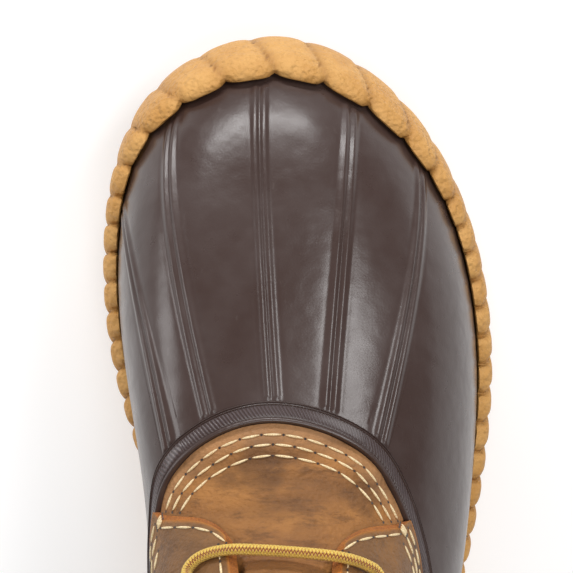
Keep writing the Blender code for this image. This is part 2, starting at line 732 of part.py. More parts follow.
def eyelet_mesh():
    """A turned eyelet: a barrel through the leather under a rounded flange."""
    barrel = EYELET_BORE + EYELET_BARREL
    flange = barrel + EYELET_FLANGE
    low, base, head = -LEATHER_WALL, EYELET_SEAT, EYELET_SEAT + EYELET_HEAD
    profile = (
        (EYELET_BORE, low),
        (barrel, low),
        (barrel, base),
        (flange, base),
        (flange - EYELET_HEAD / 2, head),
        (EYELET_BORE, head),
    )

    def build(bm):
        ring = [bm.verts.new((x, 0, z)) for x, z in profile]
        loop = [bm.edges.new((ring[i], ring[(i + 1) % len(ring)])) for i in range(len(ring))]
        bmesh.ops.spin(
            bm,
            geom=ring + loop,
            cent=(0, 0, 0),
            axis=(0, 0, 1),
            angle=2 * math.pi,
            steps=EYELET_SIDES,
            use_merge=True,
        )

    return mesh_from("eyelet", build)


def add_eyelets(quarters):
    """Cuts the holes in the quarters and sets an eyelet in each."""
    mesh = eyelet_mesh()
    holes = bmesh.new()
    radius = EYELET_BORE + EYELET_BARREL + GAP
    for side, name in ((-1, "outer"), (1, "inner")):
        for k in range(EYELET_PAIRS):
            stave, rise = eyelet_place(k, side)
            matrix = standing(stave, rise, quarter_face(stave))
            add_object(f"eyelet_{name}_{k + 1}", mesh, "metal").matrix_world = matrix
            bmesh.ops.create_cone(
                holes,
                cap_ends=True,
                segments=EYELET_SIDES,
                radius1=radius,
                radius2=radius,
                depth=EYELET_HOLE_DEPTH,
                matrix=matrix,
            )
    cutter_mesh = bpy.data.meshes.new("eyelet_holes")
    holes.to_mesh(cutter_mesh)
    holes.free()
    add_boolean(quarters, add_helper("eyelet_holes", cutter_mesh), "DIFFERENCE")


def add_helper(name, mesh):
    """Keeps a cutter or the second half of a join, hidden beside the boot."""
    helper = bpy.data.objects.new(name, mesh)
    helpers.objects.link(helper)
    helper.hide_render = True
    helper.display_type = "WIRE"
    return helper


def add_boolean(obj, other, operation):
    """Joins an object with a helper, or cuts the helper out of it."""
    modifier = obj.modifiers.new(other.name, "BOOLEAN")
    modifier.operation = operation
    modifier.object = other


def strand_mesh(name, places):
    """A lace strand as a closed mesh, through (stave, rise, height) places joined by a smooth curve."""
    points = [layer(*place) for place in places]
    smooth_points = []
    for i in range(len(points) - 1):
        a, b, c, d = (points[max(0, min(len(points) - 1, i + k))] for k in (-1, 0, 1, 2))
        smooth_points += [b, (9 * (b + c) - a - d) / 16]
    smooth_points.append(points[-1])
    curve = bpy.data.curves.new(name, "CURVE")
    curve.dimensions = "3D"
    curve.bevel_depth = LACE_RADIUS
    curve.bevel_resolution = 1
    curve.use_fill_caps = True
    line = curve.splines.new("POLY")
    line.points.add(len(smooth_points) - 1)
    for point, place in zip(line.points, smooth_points):
        point.co = (*place, 1)
    obj = bpy.data.objects.new(name, curve)
    helpers.objects.link(obj)
    mesh = bpy.data.meshes.new_from_object(obj.evaluated_get(bpy.context.evaluated_depsgraph_get()))
    bpy.data.objects.remove(obj)
    bm = bmesh.new()
    bm.from_mesh(mesh)
    bmesh.ops.remove_doubles(bm, verts=bm.verts, dist=0.00001)
    bmesh.ops.recalc_face_normals(bm, faces=bm.faces)
    bm.to_mesh(mesh)
    bm.free()
    mesh.materials.clear()
    return mesh


def bar_places():
    """The first bar, bowed towards the toe, from one lowest eyelet to the other."""
    places = []
    for side in (-1, 1):
        stave, rise = eyelet_place(0, side)
        edge = TOE + side * THROAT_HALF
        end = []
        for share, along in BAR_OUTER if side < 0 else BAR_INNER:
            place = mix(edge, stave, share)
            end.append((place, rise_where(place, 1.0, 1.6, lambda point: point.y > along), ON_QUARTER))
        end.append((stave, rise - EYELET_CLEAR / climb(stave, rise).length, ON_QUARTER))
        places += end[::-1] if side < 0 else end
    return places


def crossing_places(k, side):
    """A strand from beside one throat edge, over the tongue, to the next eyelet on the other side."""
    rises = eyelet_rises()
    stave, rise = eyelet_place(k + 1, -side)
    low = mix(rises[k], rises[k + 1], CROSSING_START)
    start = beside_throat(low, side, -LACE_RADIUS - 3 * GAP)
    edge = beside_throat(rise, -side, -LACE_RADIUS - 3 * GAP)
    high = mix(low, rise, CROSSING_EDGE)
    stop = 1 - EYELET_CLEAR / (form(stave, rise) - form(edge, high)).length
    return [
        (start, low, ON_TONGUE),
        (mix(start, edge, 0.5), mix(low, rise, CROSSING_MIDDLE), mix(ON_TONGUE, OVER_EDGE, 0.6)),
        (edge, high, OVER_EDGE),
        (mix(edge, stave, stop), mix(high, rise, stop), OVER_EDGE),
    ]


def add_laces():
    """The bar and the crossings, each one solid."""
    add_object("lace_bar", strand_mesh("lace_bar", bar_places()), "lace")
    for k in range(EYELET_PAIRS - 1):
        name = f"lace_crossing_{k + 1}"
        crossing = add_object(name, strand_mesh(name, crossing_places(k, 1)), "lace")
        other = add_helper(name + "_other", strand_mesh(name + "_other", crossing_places(k, -1)))
        add_boolean(crossing, other, "UNION")


def add_material(name, color, roughness, metallic=0.0):
    """Makes a plain material for the packed solids."""
    material = bpy.data.materials.new(name)
    material.use_nodes = True
    shader = material.node_tree.nodes["Principled BSDF"]
    shader.inputs["Base Color"].default_value = (*color, 1)
    shader.inputs["Roughness"].default_value = roughness
    shader.inputs["Metallic"].default_value = metallic
    material.diffuse_color = (*color, 1)
    return material


def main():
    """Builds every piece of the boot."""
    outsole = add_object("outsole", mesh_from("outsole", build_sole_body), "gum")
    lugs = add_helper("lugs", mesh_from("lugs", build_lugs))
    add_boolean(outsole, lugs, "UNION")
    add_object("shell", mesh_from("shell", build_shell), "rubber")
    add_object("insole", mesh_from("insole", build_insole), "lining")
    add_object("tongue", mesh_from("tongue", build_tongue), "leather")
    quarters = add_object("quarters", mesh_from("quarters", build_quarters), "leather")
    add_object("collar", mesh_from("collar", build_collar), "collar_leather")
    add_object("backstay", mesh_from("backstay", build_backstay), "leather")
    add_eyelets(quarters)
    add_laces()


for old in list(bpy.data.objects):
    bpy.data.objects.remove(old)
collection = bpy.data.collections.new("duck_boot")
helpers = bpy.data.collections.new("cutters_and_joins")
bpy.context.scene.collection.children.link(collection)
bpy.context.scene.collection.children.link(helpers)
materials = {
    "gum": add_material("gum_rubber", (0.66, 0.37, 0.12), 0.5),
    "rubber": add_material("shell_rubber", (0.065, 0.045, 0.04), 0.32),
    "leather": add_material("oiled_leather", (0.25, 0.13, 0.06), 0.6),
    "collar_leather": add_material("collar_leather", (0.16, 0.08, 0.04), 0.55),
    "lining": add_material("footbed", (0.30, 0.22, 0.14), 0.9),
    "lace": add_material("lace", (0.80, 0.55, 0.14), 0.8),
    "metal": add_material("antique_brass", (0.32, 0.22, 0.11), 0.35, 1.0),
}
main()
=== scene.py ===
"""A laced duck boot for the right foot: moulded rubber and oiled leather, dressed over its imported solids."""

import sys

import logging
import math
from collections.abc import Callable
from dataclasses import dataclass, field
from enum import Enum, IntEnum

import bmesh
import bpy
import numpy as np
from mathutils import Matrix, Vector


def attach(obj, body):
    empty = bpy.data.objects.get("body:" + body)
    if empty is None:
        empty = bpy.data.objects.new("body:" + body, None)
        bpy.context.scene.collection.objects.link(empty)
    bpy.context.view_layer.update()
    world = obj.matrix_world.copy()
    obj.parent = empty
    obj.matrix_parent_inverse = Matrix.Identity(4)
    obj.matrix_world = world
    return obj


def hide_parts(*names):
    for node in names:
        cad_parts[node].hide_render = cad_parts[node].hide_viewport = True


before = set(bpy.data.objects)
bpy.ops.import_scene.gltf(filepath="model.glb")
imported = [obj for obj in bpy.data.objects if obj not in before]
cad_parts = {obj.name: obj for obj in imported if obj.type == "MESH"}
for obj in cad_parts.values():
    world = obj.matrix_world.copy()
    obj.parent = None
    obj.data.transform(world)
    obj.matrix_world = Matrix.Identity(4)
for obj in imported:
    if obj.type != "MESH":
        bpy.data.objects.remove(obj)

LOG = logging.getLogger("duck_boot")
BODY = "root"
ROUND = 16
TOE = 8.0
# Steps in stave and in rise by which the form's slopes are measured.
STAVE_STEP = 0.02
RISE_STEP = 0.004
WELD = 0.000002
COARSE_WELD = 0.00001
SHARP = math.radians(50)

# The sixteen staves of the form, heel back first and on by the outer side. Shares of the foot's length,
# ball width and instep height: the sole's outline along and across, the belly out and up, the shoulder along,
# across and up, the rim along, across and up, and the height of the outsole's edge.
STAVES = (
    (-0.496, -0.026, 0.046, 0.21, -0.482, -0.026, 0.71, -0.469, -0.026, 0.914, 0.41),
    (-0.421, 0.284, 0.040, 0.21, -0.415, 0.255, 0.71, -0.405, 0.232, 0.902, 0.39),
    (-0.277, 0.336, 0.040, 0.21, -0.279, 0.319, 0.69, -0.281, 0.276, 0.856, 0.36),
    (-0.131, 0.361, 0.069, 0.21, -0.142, 0.366, 0.67, -0.150, 0.302, 0.822, 0.33),
    (0.014, 0.430, 0.092, 0.25, -0.020, 0.414, 0.71, -0.042, 0.309, 0.845, 0.31),
    (0.158, 0.491, 0.052, 0.34, 0.085, 0.388, 0.77, 0.029, 0.272, 0.897, 0.31),
    (0.303, 0.455, 0.029, 0.39, 0.216, 0.371, 0.77, 0.069, 0.228, 0.937, 0.385),
    (0.434, 0.282, 0.023, 0.41, 0.301, 0.207, 0.815, 0.108, 0.142, 0.977, 0.51),
    (0.5024, -0.047, 0.023, 0.39, 0.353, -0.069, 0.83, 0.132, -0.052, 1.000, 0.575),
    (0.445, -0.384, 0.023, 0.41, 0.310, -0.310, 0.82, 0.114, -0.224, 0.983, 0.53),
    (0.307, -0.491, 0.046, 0.39, 0.206, -0.405, 0.78, 0.075, -0.322, 0.940, 0.365),
    (0.163, -0.457, 0.040, 0.32, 0.088, -0.392, 0.76, 0.029, -0.349, 0.889, 0.31),
    (0.024, -0.334, 0.103, 0.23, 0.000, -0.384, 0.69, -0.026, -0.359, 0.845, 0.31),
    (-0.122, -0.317, 0.069, 0.21, -0.132, -0.358, 0.67, -0.141, -0.341, 0.822, 0.33),
    (-0.268, -0.343, 0.040, 0.21, -0.271, -0.341, 0.69, -0.275, -0.306, 0.856, 0.36),
    (-0.414, -0.321, 0.040, 0.21, -0.412, -0.289, 0.71, -0.404, -0.267, 0.902, 0.39),
)


class Side(IntEnum):
    """The two sides of the throat, by the sign of their staves."""

    OUTER = -1
    INNER = 1


class Coat(IntEnum):
    """Which finish of a piece a face takes: its outside, its inside or its cut edge."""

    OUTSIDE = 0
    INSIDE = 1
    CUT = 2


class Space(Enum):
    """The coordinates that a finish is laid out in."""

    OBJECT = "Object"
    UV = "UV"


def smooth(low: float, high: float, value: np.ndarray) -> np.ndarray:
    """An S curve from 0 at low to 1 at high."""
    t = np.clip((np.asarray(value, float) - low) / (high - low), 0.0, 1.0)
    return t * t * (3 - 2 * t)


def mix(a: np.ndarray, b: np.ndarray, share: np.ndarray) -> np.ndarray:
    """A straight blend from a to b."""
    return a + (b - a) * share


def stack(x: np.ndarray, y: np.ndarray, z: np.ndarray) -> np.ndarray:
    """Points from their three coordinates."""
    return np.stack(np.broadcast_arrays(np.asarray(x, float), y, z), axis=-1)


def unit(vectors: np.ndarray) -> np.ndarray:
    """The same directions at length one."""
    return vectors / np.linalg.norm(vectors, axis=-1, keepdims=True)


def dot(a: np.ndarray, b: np.ndarray) -> np.ndarray:
    """Dot products that keep their last axis."""
    return (a * b).sum(-1, keepdims=True)


def run_along(points: np.ndarray) -> np.ndarray:
    """How far along a line of points each one is."""
    return np.concatenate(([0.0], np.cumsum(np.linalg.norm(np.diff(points, axis=0), axis=-1))))


def from_toe(stave: np.ndarray) -> np.ndarray:
    """How many staves away from the toe a place is."""
    return np.abs((np.asarray(stave, float) - TOE + ROUND / 2) % ROUND - ROUND / 2)


def frontness(stave: np.ndarray) -> np.ndarray:
    """1 at the toe and 0 at the heel."""
    return 0.5 + 0.5 * np.cos(2 * np.pi * (stave - TOE) / ROUND)


def ripple(points: np.ndarray, wavelength: float, seed: int) -> np.ndarray:
    """A gentle unevenness between -1 and 1, always the same for the same place.

    Args:
        points: Places in metres.
        wavelength: The length of one swell in metres.
        seed: Picks another pattern.

    Returns:
        One value for each place.
    """
    rng = np.random.default_rng(seed)
    total = np.zeros(points.shape[:-1])
    for _ in range(6):
        direction = unit(rng.normal(size=3))
        rate = 2 * np.pi / wavelength * rng.uniform(0.6, 1.5)
        total += np.sin((points * direction).sum(-1) * rate + rng.uniform(0, 2 * np.pi))
    return total / 4


@dataclass
class Last:
    """The form that every piece lies over, where a place is a stave round the foot and a rise up it."""

    length: float = 0.306
    ball_width: float = 0.116
    instep_height: float = 0.087
    boot_height: float = 0.216
    heel_thickness: float = 0.025
    forefoot_thickness: float = 0.0155
    toe_spring: float = 0.011
    spring_start: float = 0.22
    arch_rise: float = 0.002
    sole_ledge: float = 0.0048
    collar_depth: float = 0.112
    collar_breadth: float = 0.082
    collar_back: float = 0.010
    collar_shift: float = -0.0036
    collar_point_turn: float = math.radians(12)
    collar_dip: float = 0.004
    ankle_share: float = 0.86
    instep_lift: float = 0.011
    instep_bulge: float = 0.003
    bulge_stave: float = 4.8
    bulge_reach: float = 4.2
    weights: np.ndarray = field(init=False)

    def __post_init__(self) -> None:
        """Fits the smooth closed curves through the table of staves."""
        near = np.roll(np.eye(ROUND), 1, 0) + np.roll(np.eye(ROUND), -1, 0)
        along, across, up = self.length, self.ball_width, self.instep_height
        scale = np.array((along, across, up, up, along, across, up, along, across, up, up))
        self.weights = np.linalg.solve((4 * np.eye(ROUND) + near) / 6, np.array(STAVES)) * scale

    def curves(self, stave: np.ndarray) -> np.ndarray:
        """The eleven table values at any stave, in metres."""
        stave = np.asarray(stave, float)
        start = np.floor(stave).astype(int)
        t = (stave - start)[..., None]
        basis = ((1 - t) ** 3, 3 * t**3 - 6 * t**2 + 4, -3 * t**3 + 3 * t**2 + 3 * t + 1, t**3)
        return sum(b * self.weights[(start - 1 + k) % ROUND] for k, b in enumerate(basis)) / 6

    def spring(self, share: np.ndarray) -> np.ndarray:
        """How far the toe is turned up at a share of the foot's length from its middle."""
        return self.toe_spring * (np.maximum(0.0, share - self.spring_start) / (0.5 - self.spring_start)) ** 2

    def ground(self, along: np.ndarray) -> np.ndarray:
        """Height of the tread over the floor at a place along the foot."""
        share = along / self.length
        arch = smooth(-0.24, -0.14, share) * smooth(0.10, 0.0, share)
        return self.spring(share) + self.arch_rise * arch

    def seat(self, along: np.ndarray) -> np.ndarray:
        """Height of the surface that the shell stands on."""
        share = along / self.length
        flat = mix(self.heel_thickness, self.forefoot_thickness, smooth(-0.30, 0.14, share))
        return flat + self.spring(share)

    def outline(self, stave: np.ndarray) -> np.ndarray:
        """The sole's outline in plan."""
        values = self.curves(stave)
        return stack(values[..., 1], values[..., 0], 0.0)

    def outward(self, stave: np.ndarray) -> np.ndarray:
        """Unit vectors in plan that point away from the foot."""
        along = self.outline(stave + STAVE_STEP) - self.outline(stave - STAVE_STEP)
        return unit(stack(along[..., 1], -along[..., 0], 0.0))

    def collar_point(self, stave: np.ndarray) -> np.ndarray:
        """The oval of the boot's mouth."""
        turn = np.pi * from_toe(stave) / TOE
        turn = turn - self.collar_point_turn * np.sin(turn)
        side = np.where((stave - TOE) % ROUND > ROUND / 2, 1.0, -1.0)
        centre = self.collar_back + self.collar_depth / 2 - self.length / 2
        return stack(
            self.collar_shift + side * self.collar_breadth / 2 * np.sin(turn),
            centre + self.collar_depth / 2 * np.cos(turn),
            self.boot_height - self.collar_dip * (1 - frontness(stave)),
        )

    def controls(self, stave: np.ndarray) -> np.ndarray:
        """The seven control points of each stave, as (..., 7, 3)."""
        values = self.curves(stave)
        out = self.outward(stave)
        foot = self.outline(stave) - out * self.sole_ledge
        foot[..., 2] = self.seat(foot[..., 1])
        belly = foot + out * values[..., 2:3]
        belly[..., 2] += values[..., 3]
        shoulder = stack(values[..., 5], values[..., 4], values[..., 6])
        rim = stack(values[..., 8], values[..., 7], values[..., 9])
        collar = self.collar_point(stave)
        front = frontness(stave) ** 2
        instep = rim + (rim - shoulder) * mix(1.0, 0.5, front)[..., None]
        away = np.minimum(1.0, np.abs(stave % ROUND - self.bulge_stave) / self.bulge_reach)
        bulge = np.cos(away * np.pi / 2) ** 2
        instep = instep + bulge[..., None] * np.array((self.instep_bulge, 0, self.instep_lift))
        ankle = collar.copy()
        ankle[..., 2] -= (collar[..., 2] - rim[..., 2]) * mix(0.38, 0.66, front)
        ankle[..., 0] = self.collar_shift + (collar[..., 0] - self.collar_shift) * self.ankle_share
        ankle[..., 1] += self.collar_dip * (1 - frontness(stave))
        return np.stack((foot, belly, shoulder, rim, instep, ankle, collar), axis=-2)

    def form(self, stave: np.ndarray, rise: np.ndarray) -> np.ndarray:
        """Points of the form. Rise 0 is the feather edge, 1 the shell's rim and 2 the collar."""
        stave, rise = np.broadcast_arrays(np.asarray(stave, float), np.asarray(rise, float))
        points = self.controls(stave)
        low = (rise <= 1)[..., None]
        a, b, c, d = (np.where(low, points[..., k, :], points[..., k + 3, :]) for k in range(4))
        t = np.where(low, rise[..., None], rise[..., None] - 1)
        curve = a * (1 - t) ** 3 + b * 3 * t * (1 - t) ** 2 + c * 3 * t * t * (1 - t) + d * t**3
        ahead = points[..., 6, :] + (points[..., 6, :] - points[..., 5, :]) * 3 * (rise[..., None] - 2)
        return np.where(rise[..., None] > 2, ahead, curve)

    def climb(self, stave: np.ndarray, rise: np.ndarray) -> np.ndarray:
        """How fast a stave moves with its rise."""
        return (self.form(stave, rise + RISE_STEP) - self.form(stave, rise - RISE_STEP)) / (2 * RISE_STEP)

    def climb_speed(self, stave: np.ndarray, rise: np.ndarray) -> np.ndarray:
        """Metres that a stave moves for a step of one in rise."""
        return np.linalg.norm(self.climb(stave, rise), axis=-1)

    def around(self, stave: np.ndarray, rise: np.ndarray) -> np.ndarray:
        """How fast the form moves with the stave number."""
        return (self.form(stave + STAVE_STEP, rise) - self.form(stave - STAVE_STEP, rise)) / (2 * STAVE_STEP)

    def around_speed(self, stave: np.ndarray, rise: np.ndarray) -> np.ndarray:
        """Metres that the form moves for a step of one stave."""
        return np.linalg.norm(self.around(stave, rise), axis=-1)

    def normal(self, stave: np.ndarray, rise: np.ndarray) -> np.ndarray:
        """Unit vectors that point out of the form."""
        return unit(np.cross(self.around(stave, rise), self.climb(stave, rise)))

    def layer(self, stave: np.ndarray, rise: np.ndarray, offset: np.ndarray) -> np.ndarray:
        """Points at a distance outside the form, or inside where it is negative."""
        places = (np.asarray(part, float) for part in (stave, rise, offset))
        stave, rise, offset = np.broadcast_arrays(*places)
        return self.form(stave, rise) + self.normal(stave, rise) * offset[..., None]

    def rise_for(self, stave: np.ndarray, distance: float, at: float = 1.0) -> np.ndarray:
        """The step in rise that is this distance square to the rim, by the form's slope at a given rise."""
        stave = np.asarray(stave, float)
        level = np.full_like(stave, at)
        up, along = self.climb(stave, level), unit(self.around(stave, level))
        return distance / np.linalg.norm(up - along * dot(up, along), axis=-1)

    def rise_where(self, stave: np.ndarray, low: np.ndarray, high: float, test: Callable) -> np.ndarray:
        """The rise between low and high where a test of the points turns from true to false.

        Args:
            stave: Stave numbers.
            low: Lower ends of the search.
            high: Upper end of the search.
            test: Takes points and says for each whether the search goes on above it.

        Returns:
            One rise for each stave.
        """
        stave = np.asarray(stave, float)
        low, high = np.broadcast_to(low, stave.shape).astype(float), np.full(stave.shape, float(high))
        for _ in range(26):
            middle = (low + high) / 2
            above = test(self.form(stave, middle))
            low, high = np.where(above, middle, low), np.where(above, high, middle)
        return (low + high) / 2

    def edge_rise(self, stave: np.ndarray) -> np.ndarray:
        """The rise at which the shell comes out of the outsole."""
        height = self.curves(stave)[..., 10]
        return self.rise_where(stave, np.zeros_like(height), 0.6, lambda point: point[..., 2] < height)

    def spine(self, stave: np.ndarray) -> np.ndarray:
        """The middle of the foot opposite a place on the outline."""
        here, partner = self.outline(stave), self.outline(-stave)
        along = np.clip(here[..., 1], 0.045 - self.length / 2, self.length / 2 - 0.05)
        return stack((here[..., 0] + partner[..., 0]) / 2, along, 0.0)

    def drawn_in(self, stave: np.ndarray, points: np.ndarray, share: float, height: Callable) -> np.ndarray:
        """Points drawn in towards the spine, at a height that follows their place along the foot.

        Args:
            stave: Stave numbers of the points.
            points: The outermost points.
            share: 1 leaves them where they are and 0 brings them to the spine.
            height: Gives a height for each place along the foot.

        Returns:
            The moved points.
        """
        moved = mix(self.spine(stave), points, share)
        moved[..., 2] = height(moved[..., 1])
        return moved


@dataclass
class Sheet:
    """A grid of vertices, row by row, with its flat layout in metres and its named marks."""

    points: np.ndarray
    marks: dict[str, np.ndarray] = field(default_factory=dict)
    coat: np.ndarray | int = Coat.OUTSIDE
    flat: np.ndarray | None = None

    def layout(self) -> np.ndarray:
        """The flat layout: how far along its row and up its column each point is."""
        if self.flat is not None:
            return self.flat
        along = np.linalg.norm(np.diff(self.points, axis=1), axis=-1).mean(0)
        up = np.linalg.norm(np.diff(self.points, axis=0), axis=-1)
        rows, columns = self.points.shape[:2]
        u = np.broadcast_to(np.concatenate(([0.0], np.cumsum(along))), (rows, columns))
        v = np.concatenate((np.zeros((1, columns)), np.cumsum(up, axis=0)))
        return np.stack((u, v), axis=-1)

    def lay(self, bm: bmesh.types.BMesh) -> list[bmesh.types.BMVert]:
        """Adds the sheet to a bmesh as a grid whose vertices are moved into place.

        Args:
            bm: The bmesh to add to.

        Returns:
            The new vertices.
        """
        rows, columns = self.points.shape[:2]
        uv = bm.loops.layers.uv.get("UVMap") or bm.loops.layers.uv.new("UVMap")
        floats = bm.verts.layers.float
        layers = {name: floats.get(name) or floats.new(name) for name in self.marks}
        made = bmesh.ops.create_grid(bm, x_segments=columns - 1, y_segments=rows - 1, size=0.5)["verts"]
        places = {}
        for vert in made:
            i, j = round((vert.co.y + 0.5) * (rows - 1)), round((vert.co.x + 0.5) * (columns - 1))
            places[vert] = (i, j)
            for name, layer in layers.items():
                vert[layer] = float(self.marks[name][i, j])
        for vert, (i, j) in places.items():
            vert.co = self.points[i, j]
        flat = self.layout()
        coat = np.broadcast_to(np.asarray(self.coat), (rows - 1,))
        for face in {face for vert in made for face in vert.link_faces}:
            face.material_index = int(coat[min(places[vert][0] for vert in face.verts)])
            for loop in face.loops:
                loop[uv].uv = flat[places[loop.vert]]
        return made


def lay_wall(bm: bmesh.types.BMesh, outer: Sheet, inner: Sheet, rounding: float) -> None:
    """Adds a wall with an outer and an inner sheet, a cut edge between them and rounded corners.

    Args:
        bm: The bmesh to add to.
        outer: The outer face.
        inner: The inner face, with as many vertices along its edge.
        rounding: How far the corners of the cut edge are rounded, in metres.
    """
    outer_verts = set(outer.lay(bm))
    inner_verts = set(inner.lay(bm))
    new = outer_verts | inner_verts
    loops = [edge for edge in bm.edges if edge.is_boundary and edge.verts[0] in new]
    bridged = bmesh.ops.bridge_loops(bm, edges=loops)["faces"]
    for face in bridged:
        face.material_index = Coat.CUT
    corners = [edge for edge in loops if edge.is_valid and edge.verts[0] in outer_verts]
    bmesh.ops.bevel(
        bm,
        geom=corners,
        offset=rounding,
        segments=2,
        profile=0.5,
        affect="EDGES",
        material=-1,
        clamp_overlap=True,
    )


def make_piece(
    name: str,
    bm: bmesh.types.BMesh,
    finishes: list[bpy.types.Material],
    stands_for: tuple[str, ...] = (),
    weld: float = WELD,
) -> bpy.types.Object:
    """Turns a bmesh into a finished piece that rides on the boot.

    Args:
        name: The piece's name.
        bm: Its mesh, which is freed.
        finishes: Its materials, in the order of Coat.
        stands_for: The solids that it replaces.
        weld: Vertices closer than this are merged.

    Returns:
        The object.
    """
    bmesh.ops.remove_doubles(bm, verts=bm.verts, dist=weld)
    bmesh.ops.recalc_face_normals(bm, faces=bm.faces)
    mesh = bpy.data.meshes.new(name)
    bm.to_mesh(mesh)
    bm.free()
    for finish in finishes:
        mesh.materials.append(finish)
    mesh.shade_smooth()
    mesh.set_sharp_from_angle(angle=SHARP)
    obj = bpy.data.objects.new(name, mesh)
    bpy.context.scene.collection.objects.link(obj)
    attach(obj, BODY)
    if stands_for:
        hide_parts(*stands_for)
    LOG.info("%s: %d faces", name, len(mesh.polygons))
    return obj


# The Wave texture's scale that gives one wave a metre.
WAVES_PER_UNIT = 0.314


class Recipe:
    """A material that is put together node by node."""

    def __init__(self, name: str) -> None:
        """Starts an empty material."""
        self.material = bpy.data.materials.new(name)
        self.material.use_nodes = True
        self.tree = self.material.node_tree
        self.shader = self.tree.nodes["Principled BSDF"]

    def add(self, kind: str, inputs: dict[str | int, object], **settings: object) -> bpy.types.Node:
        """Adds a node, sets its properties, and sets or links its inputs.

        Args:
            kind: The node's type.
            inputs: Values or outputs of other nodes, by the socket's name or number.
            settings: The node's own properties.

        Returns:
            The node.
        """
        node = self.tree.nodes.new(kind)
        for key, value in settings.items():
            setattr(node, key, value)
        for key, value in inputs.items():
            self.feed(node.inputs[key], value)
        return node

    def feed(self, socket: bpy.types.NodeSocket, value: object) -> None:
        """Links an output to a socket, or sets the socket's value."""
        if isinstance(value, bpy.types.NodeSocket):
            self.tree.links.new(value, socket)
        else:
            socket.default_value = value

    def coordinates(
        self, space: Space, stretch: tuple[float, float, float] = (1, 1, 1)
    ) -> bpy.types.NodeSocket:
        """Coordinates in metres, stretched by a Mapping node."""
        source = self.add("ShaderNodeTexCoord", {}).outputs[space.value]
        return self.add("ShaderNodeMapping", {"Vector": source, "Scale": stretch}).outputs["Vector"]

    def mark(self, name: str) -> bpy.types.NodeSocket:
        """A named mark of the mesh."""
        return self.add("ShaderNodeAttribute", {}, attribute_name=name).outputs["Fac"]

    def noise(
        self, place: bpy.types.NodeSocket, size: float, detail: float = 3.0, rough: float = 0.5
    ) -> bpy.types.NodeSocket:
        """A cloudy pattern whose clouds have about this size in metres."""
        inputs = {"Vector": place, "Scale": 1 / size, "Detail": detail, "Roughness": rough}
        return self.add("ShaderNodeTexNoise", inputs).outputs["Fac"]

    def cells(self, place: bpy.types.NodeSocket, size: float) -> bpy.types.NodeSocket:
        """Distances in a pattern of soft cells of about this size in metres."""
        inputs = {"Vector": place, "Scale": 1 / size}
        return self.add("ShaderNodeTexVoronoi", inputs, feature="SMOOTH_F1").outputs["Distance"]

    def bands(self, flat: bpy.types.NodeSocket, pitch: float, **inputs: float) -> bpy.types.Node:
        """A node with waves of this pitch in metres."""
        scale = WAVES_PER_UNIT / pitch
        return self.add("ShaderNodeTexWave", {"Vector": flat, "Scale": scale, **inputs})

    def ramp(self, share: bpy.types.NodeSocket, low: float, high: float) -> bpy.types.NodeSocket:
        """The share mapped smoothly from low and high to 0 and 1."""
        inputs = {"Value": share, "From Min": low, "From Max": high}
        return self.add("ShaderNodeMapRange", inputs, interpolation_type="SMOOTHSTEP").outputs["Result"]

    def math(self, operation: str, a: object, b: object = 0.0) -> bpy.types.NodeSocket:
        """One step of arithmetic."""
        return self.add("ShaderNodeMath", {0: a, 1: b}, operation=operation).outputs[0]

    def blend(self, share: object, low: object, high: object) -> bpy.types.NodeSocket:
        """Two colours mixed by a share."""
        low = (*low, 1.0) if isinstance(low, tuple) else low
        high = (*high, 1.0) if isinstance(high, tuple) else high
        node = self.add("ShaderNodeMix", {}, data_type="RGBA")
        for key, value in ((0, share), (6, low), (7, high)):
            self.feed(node.inputs[key], value)
        return node.outputs[2]

    def tint(self, color: object, share: object, strength: float, toward: object) -> bpy.types.NodeSocket:
        """A colour with another laid over it by a share of a strength."""
        return self.blend(self.math("MULTIPLY", share, strength), color, toward)

    def spread(self, share: object, span: float, base: float) -> bpy.types.NodeSocket:
        """A value that goes from base to base + span with a share."""
        return self.add("ShaderNodeMath", {0: share, 1: span, 2: base}, operation="MULTIPLY_ADD").outputs[0]

    def relief(self, heights: list[tuple[bpy.types.NodeSocket, float]]) -> None:
        """Gives the shader a bump for each pattern and its depth in metres."""
        normal = None
        for height, depth in heights:
            inputs = {"Height": height, "Distance": depth, "Strength": 1.0}
            if normal is not None:
                inputs["Normal"] = normal
            normal = self.add("ShaderNodeBump", inputs).outputs["Normal"]
        self.feed(self.shader.inputs["Normal"], normal)

    def shade(self, **inputs: object) -> bpy.types.Material:
        """Sets the shader's inputs by name, with underscores for spaces.

        Args:
            inputs: Values or outputs of nodes.

        Returns:
            The finished material.
        """
        for key, value in inputs.items():
            value = (*value, 1.0) if isinstance(value, tuple) and len(value) == 3 else value
            self.feed(self.shader.inputs[key.replace("_", " ")], value)
        return self.material


Color = tuple[float, float, float]
Place = tuple[float, float, float]


@dataclass(frozen=True)
class GumRubber:
    """Crepe-like gum rubber, honey yellow, with a crinkled skin and painted shade in its notches."""

    pale: Color = (0.66, 0.36, 0.115)
    deep: Color = (0.54, 0.265, 0.068)
    # Dark brown for the painted shade in the notches and recesses.
    notch_shade: Color = (0.27, 0.115, 0.025)

    def material(self) -> bpy.types.Material:
        """Builds the material."""
        recipe = Recipe("gum_rubber")
        place = recipe.coordinates(Space.OBJECT)
        cloud = recipe.ramp(recipe.noise(place, 0.014, 4.0, 0.6), 0.3, 0.7)
        color = recipe.blend(cloud, self.deep, self.pale)
        fine = recipe.noise(place, 0.0011, 3.0, 0.6)
        color = recipe.tint(color, recipe.ramp(fine, 0.55, 0.75), 0.35, self.pale)
        # Painted shade: darker in the notches between the lobes and in the step down to the shell.
        color = recipe.blend(recipe.mark("notch_shade"), color, self.notch_shade)
        crinkle = recipe.cells(place, 0.0014)
        recipe.relief([(crinkle, 0.00060), (recipe.noise(place, 0.004, 3.0), 0.0010), (fine, 0.00030)])
        rough = recipe.spread(cloud, 0.16, 0.48)
        return recipe.shade(Base_Color=color, Roughness=rough, Specular_IOR_Level=0.30)


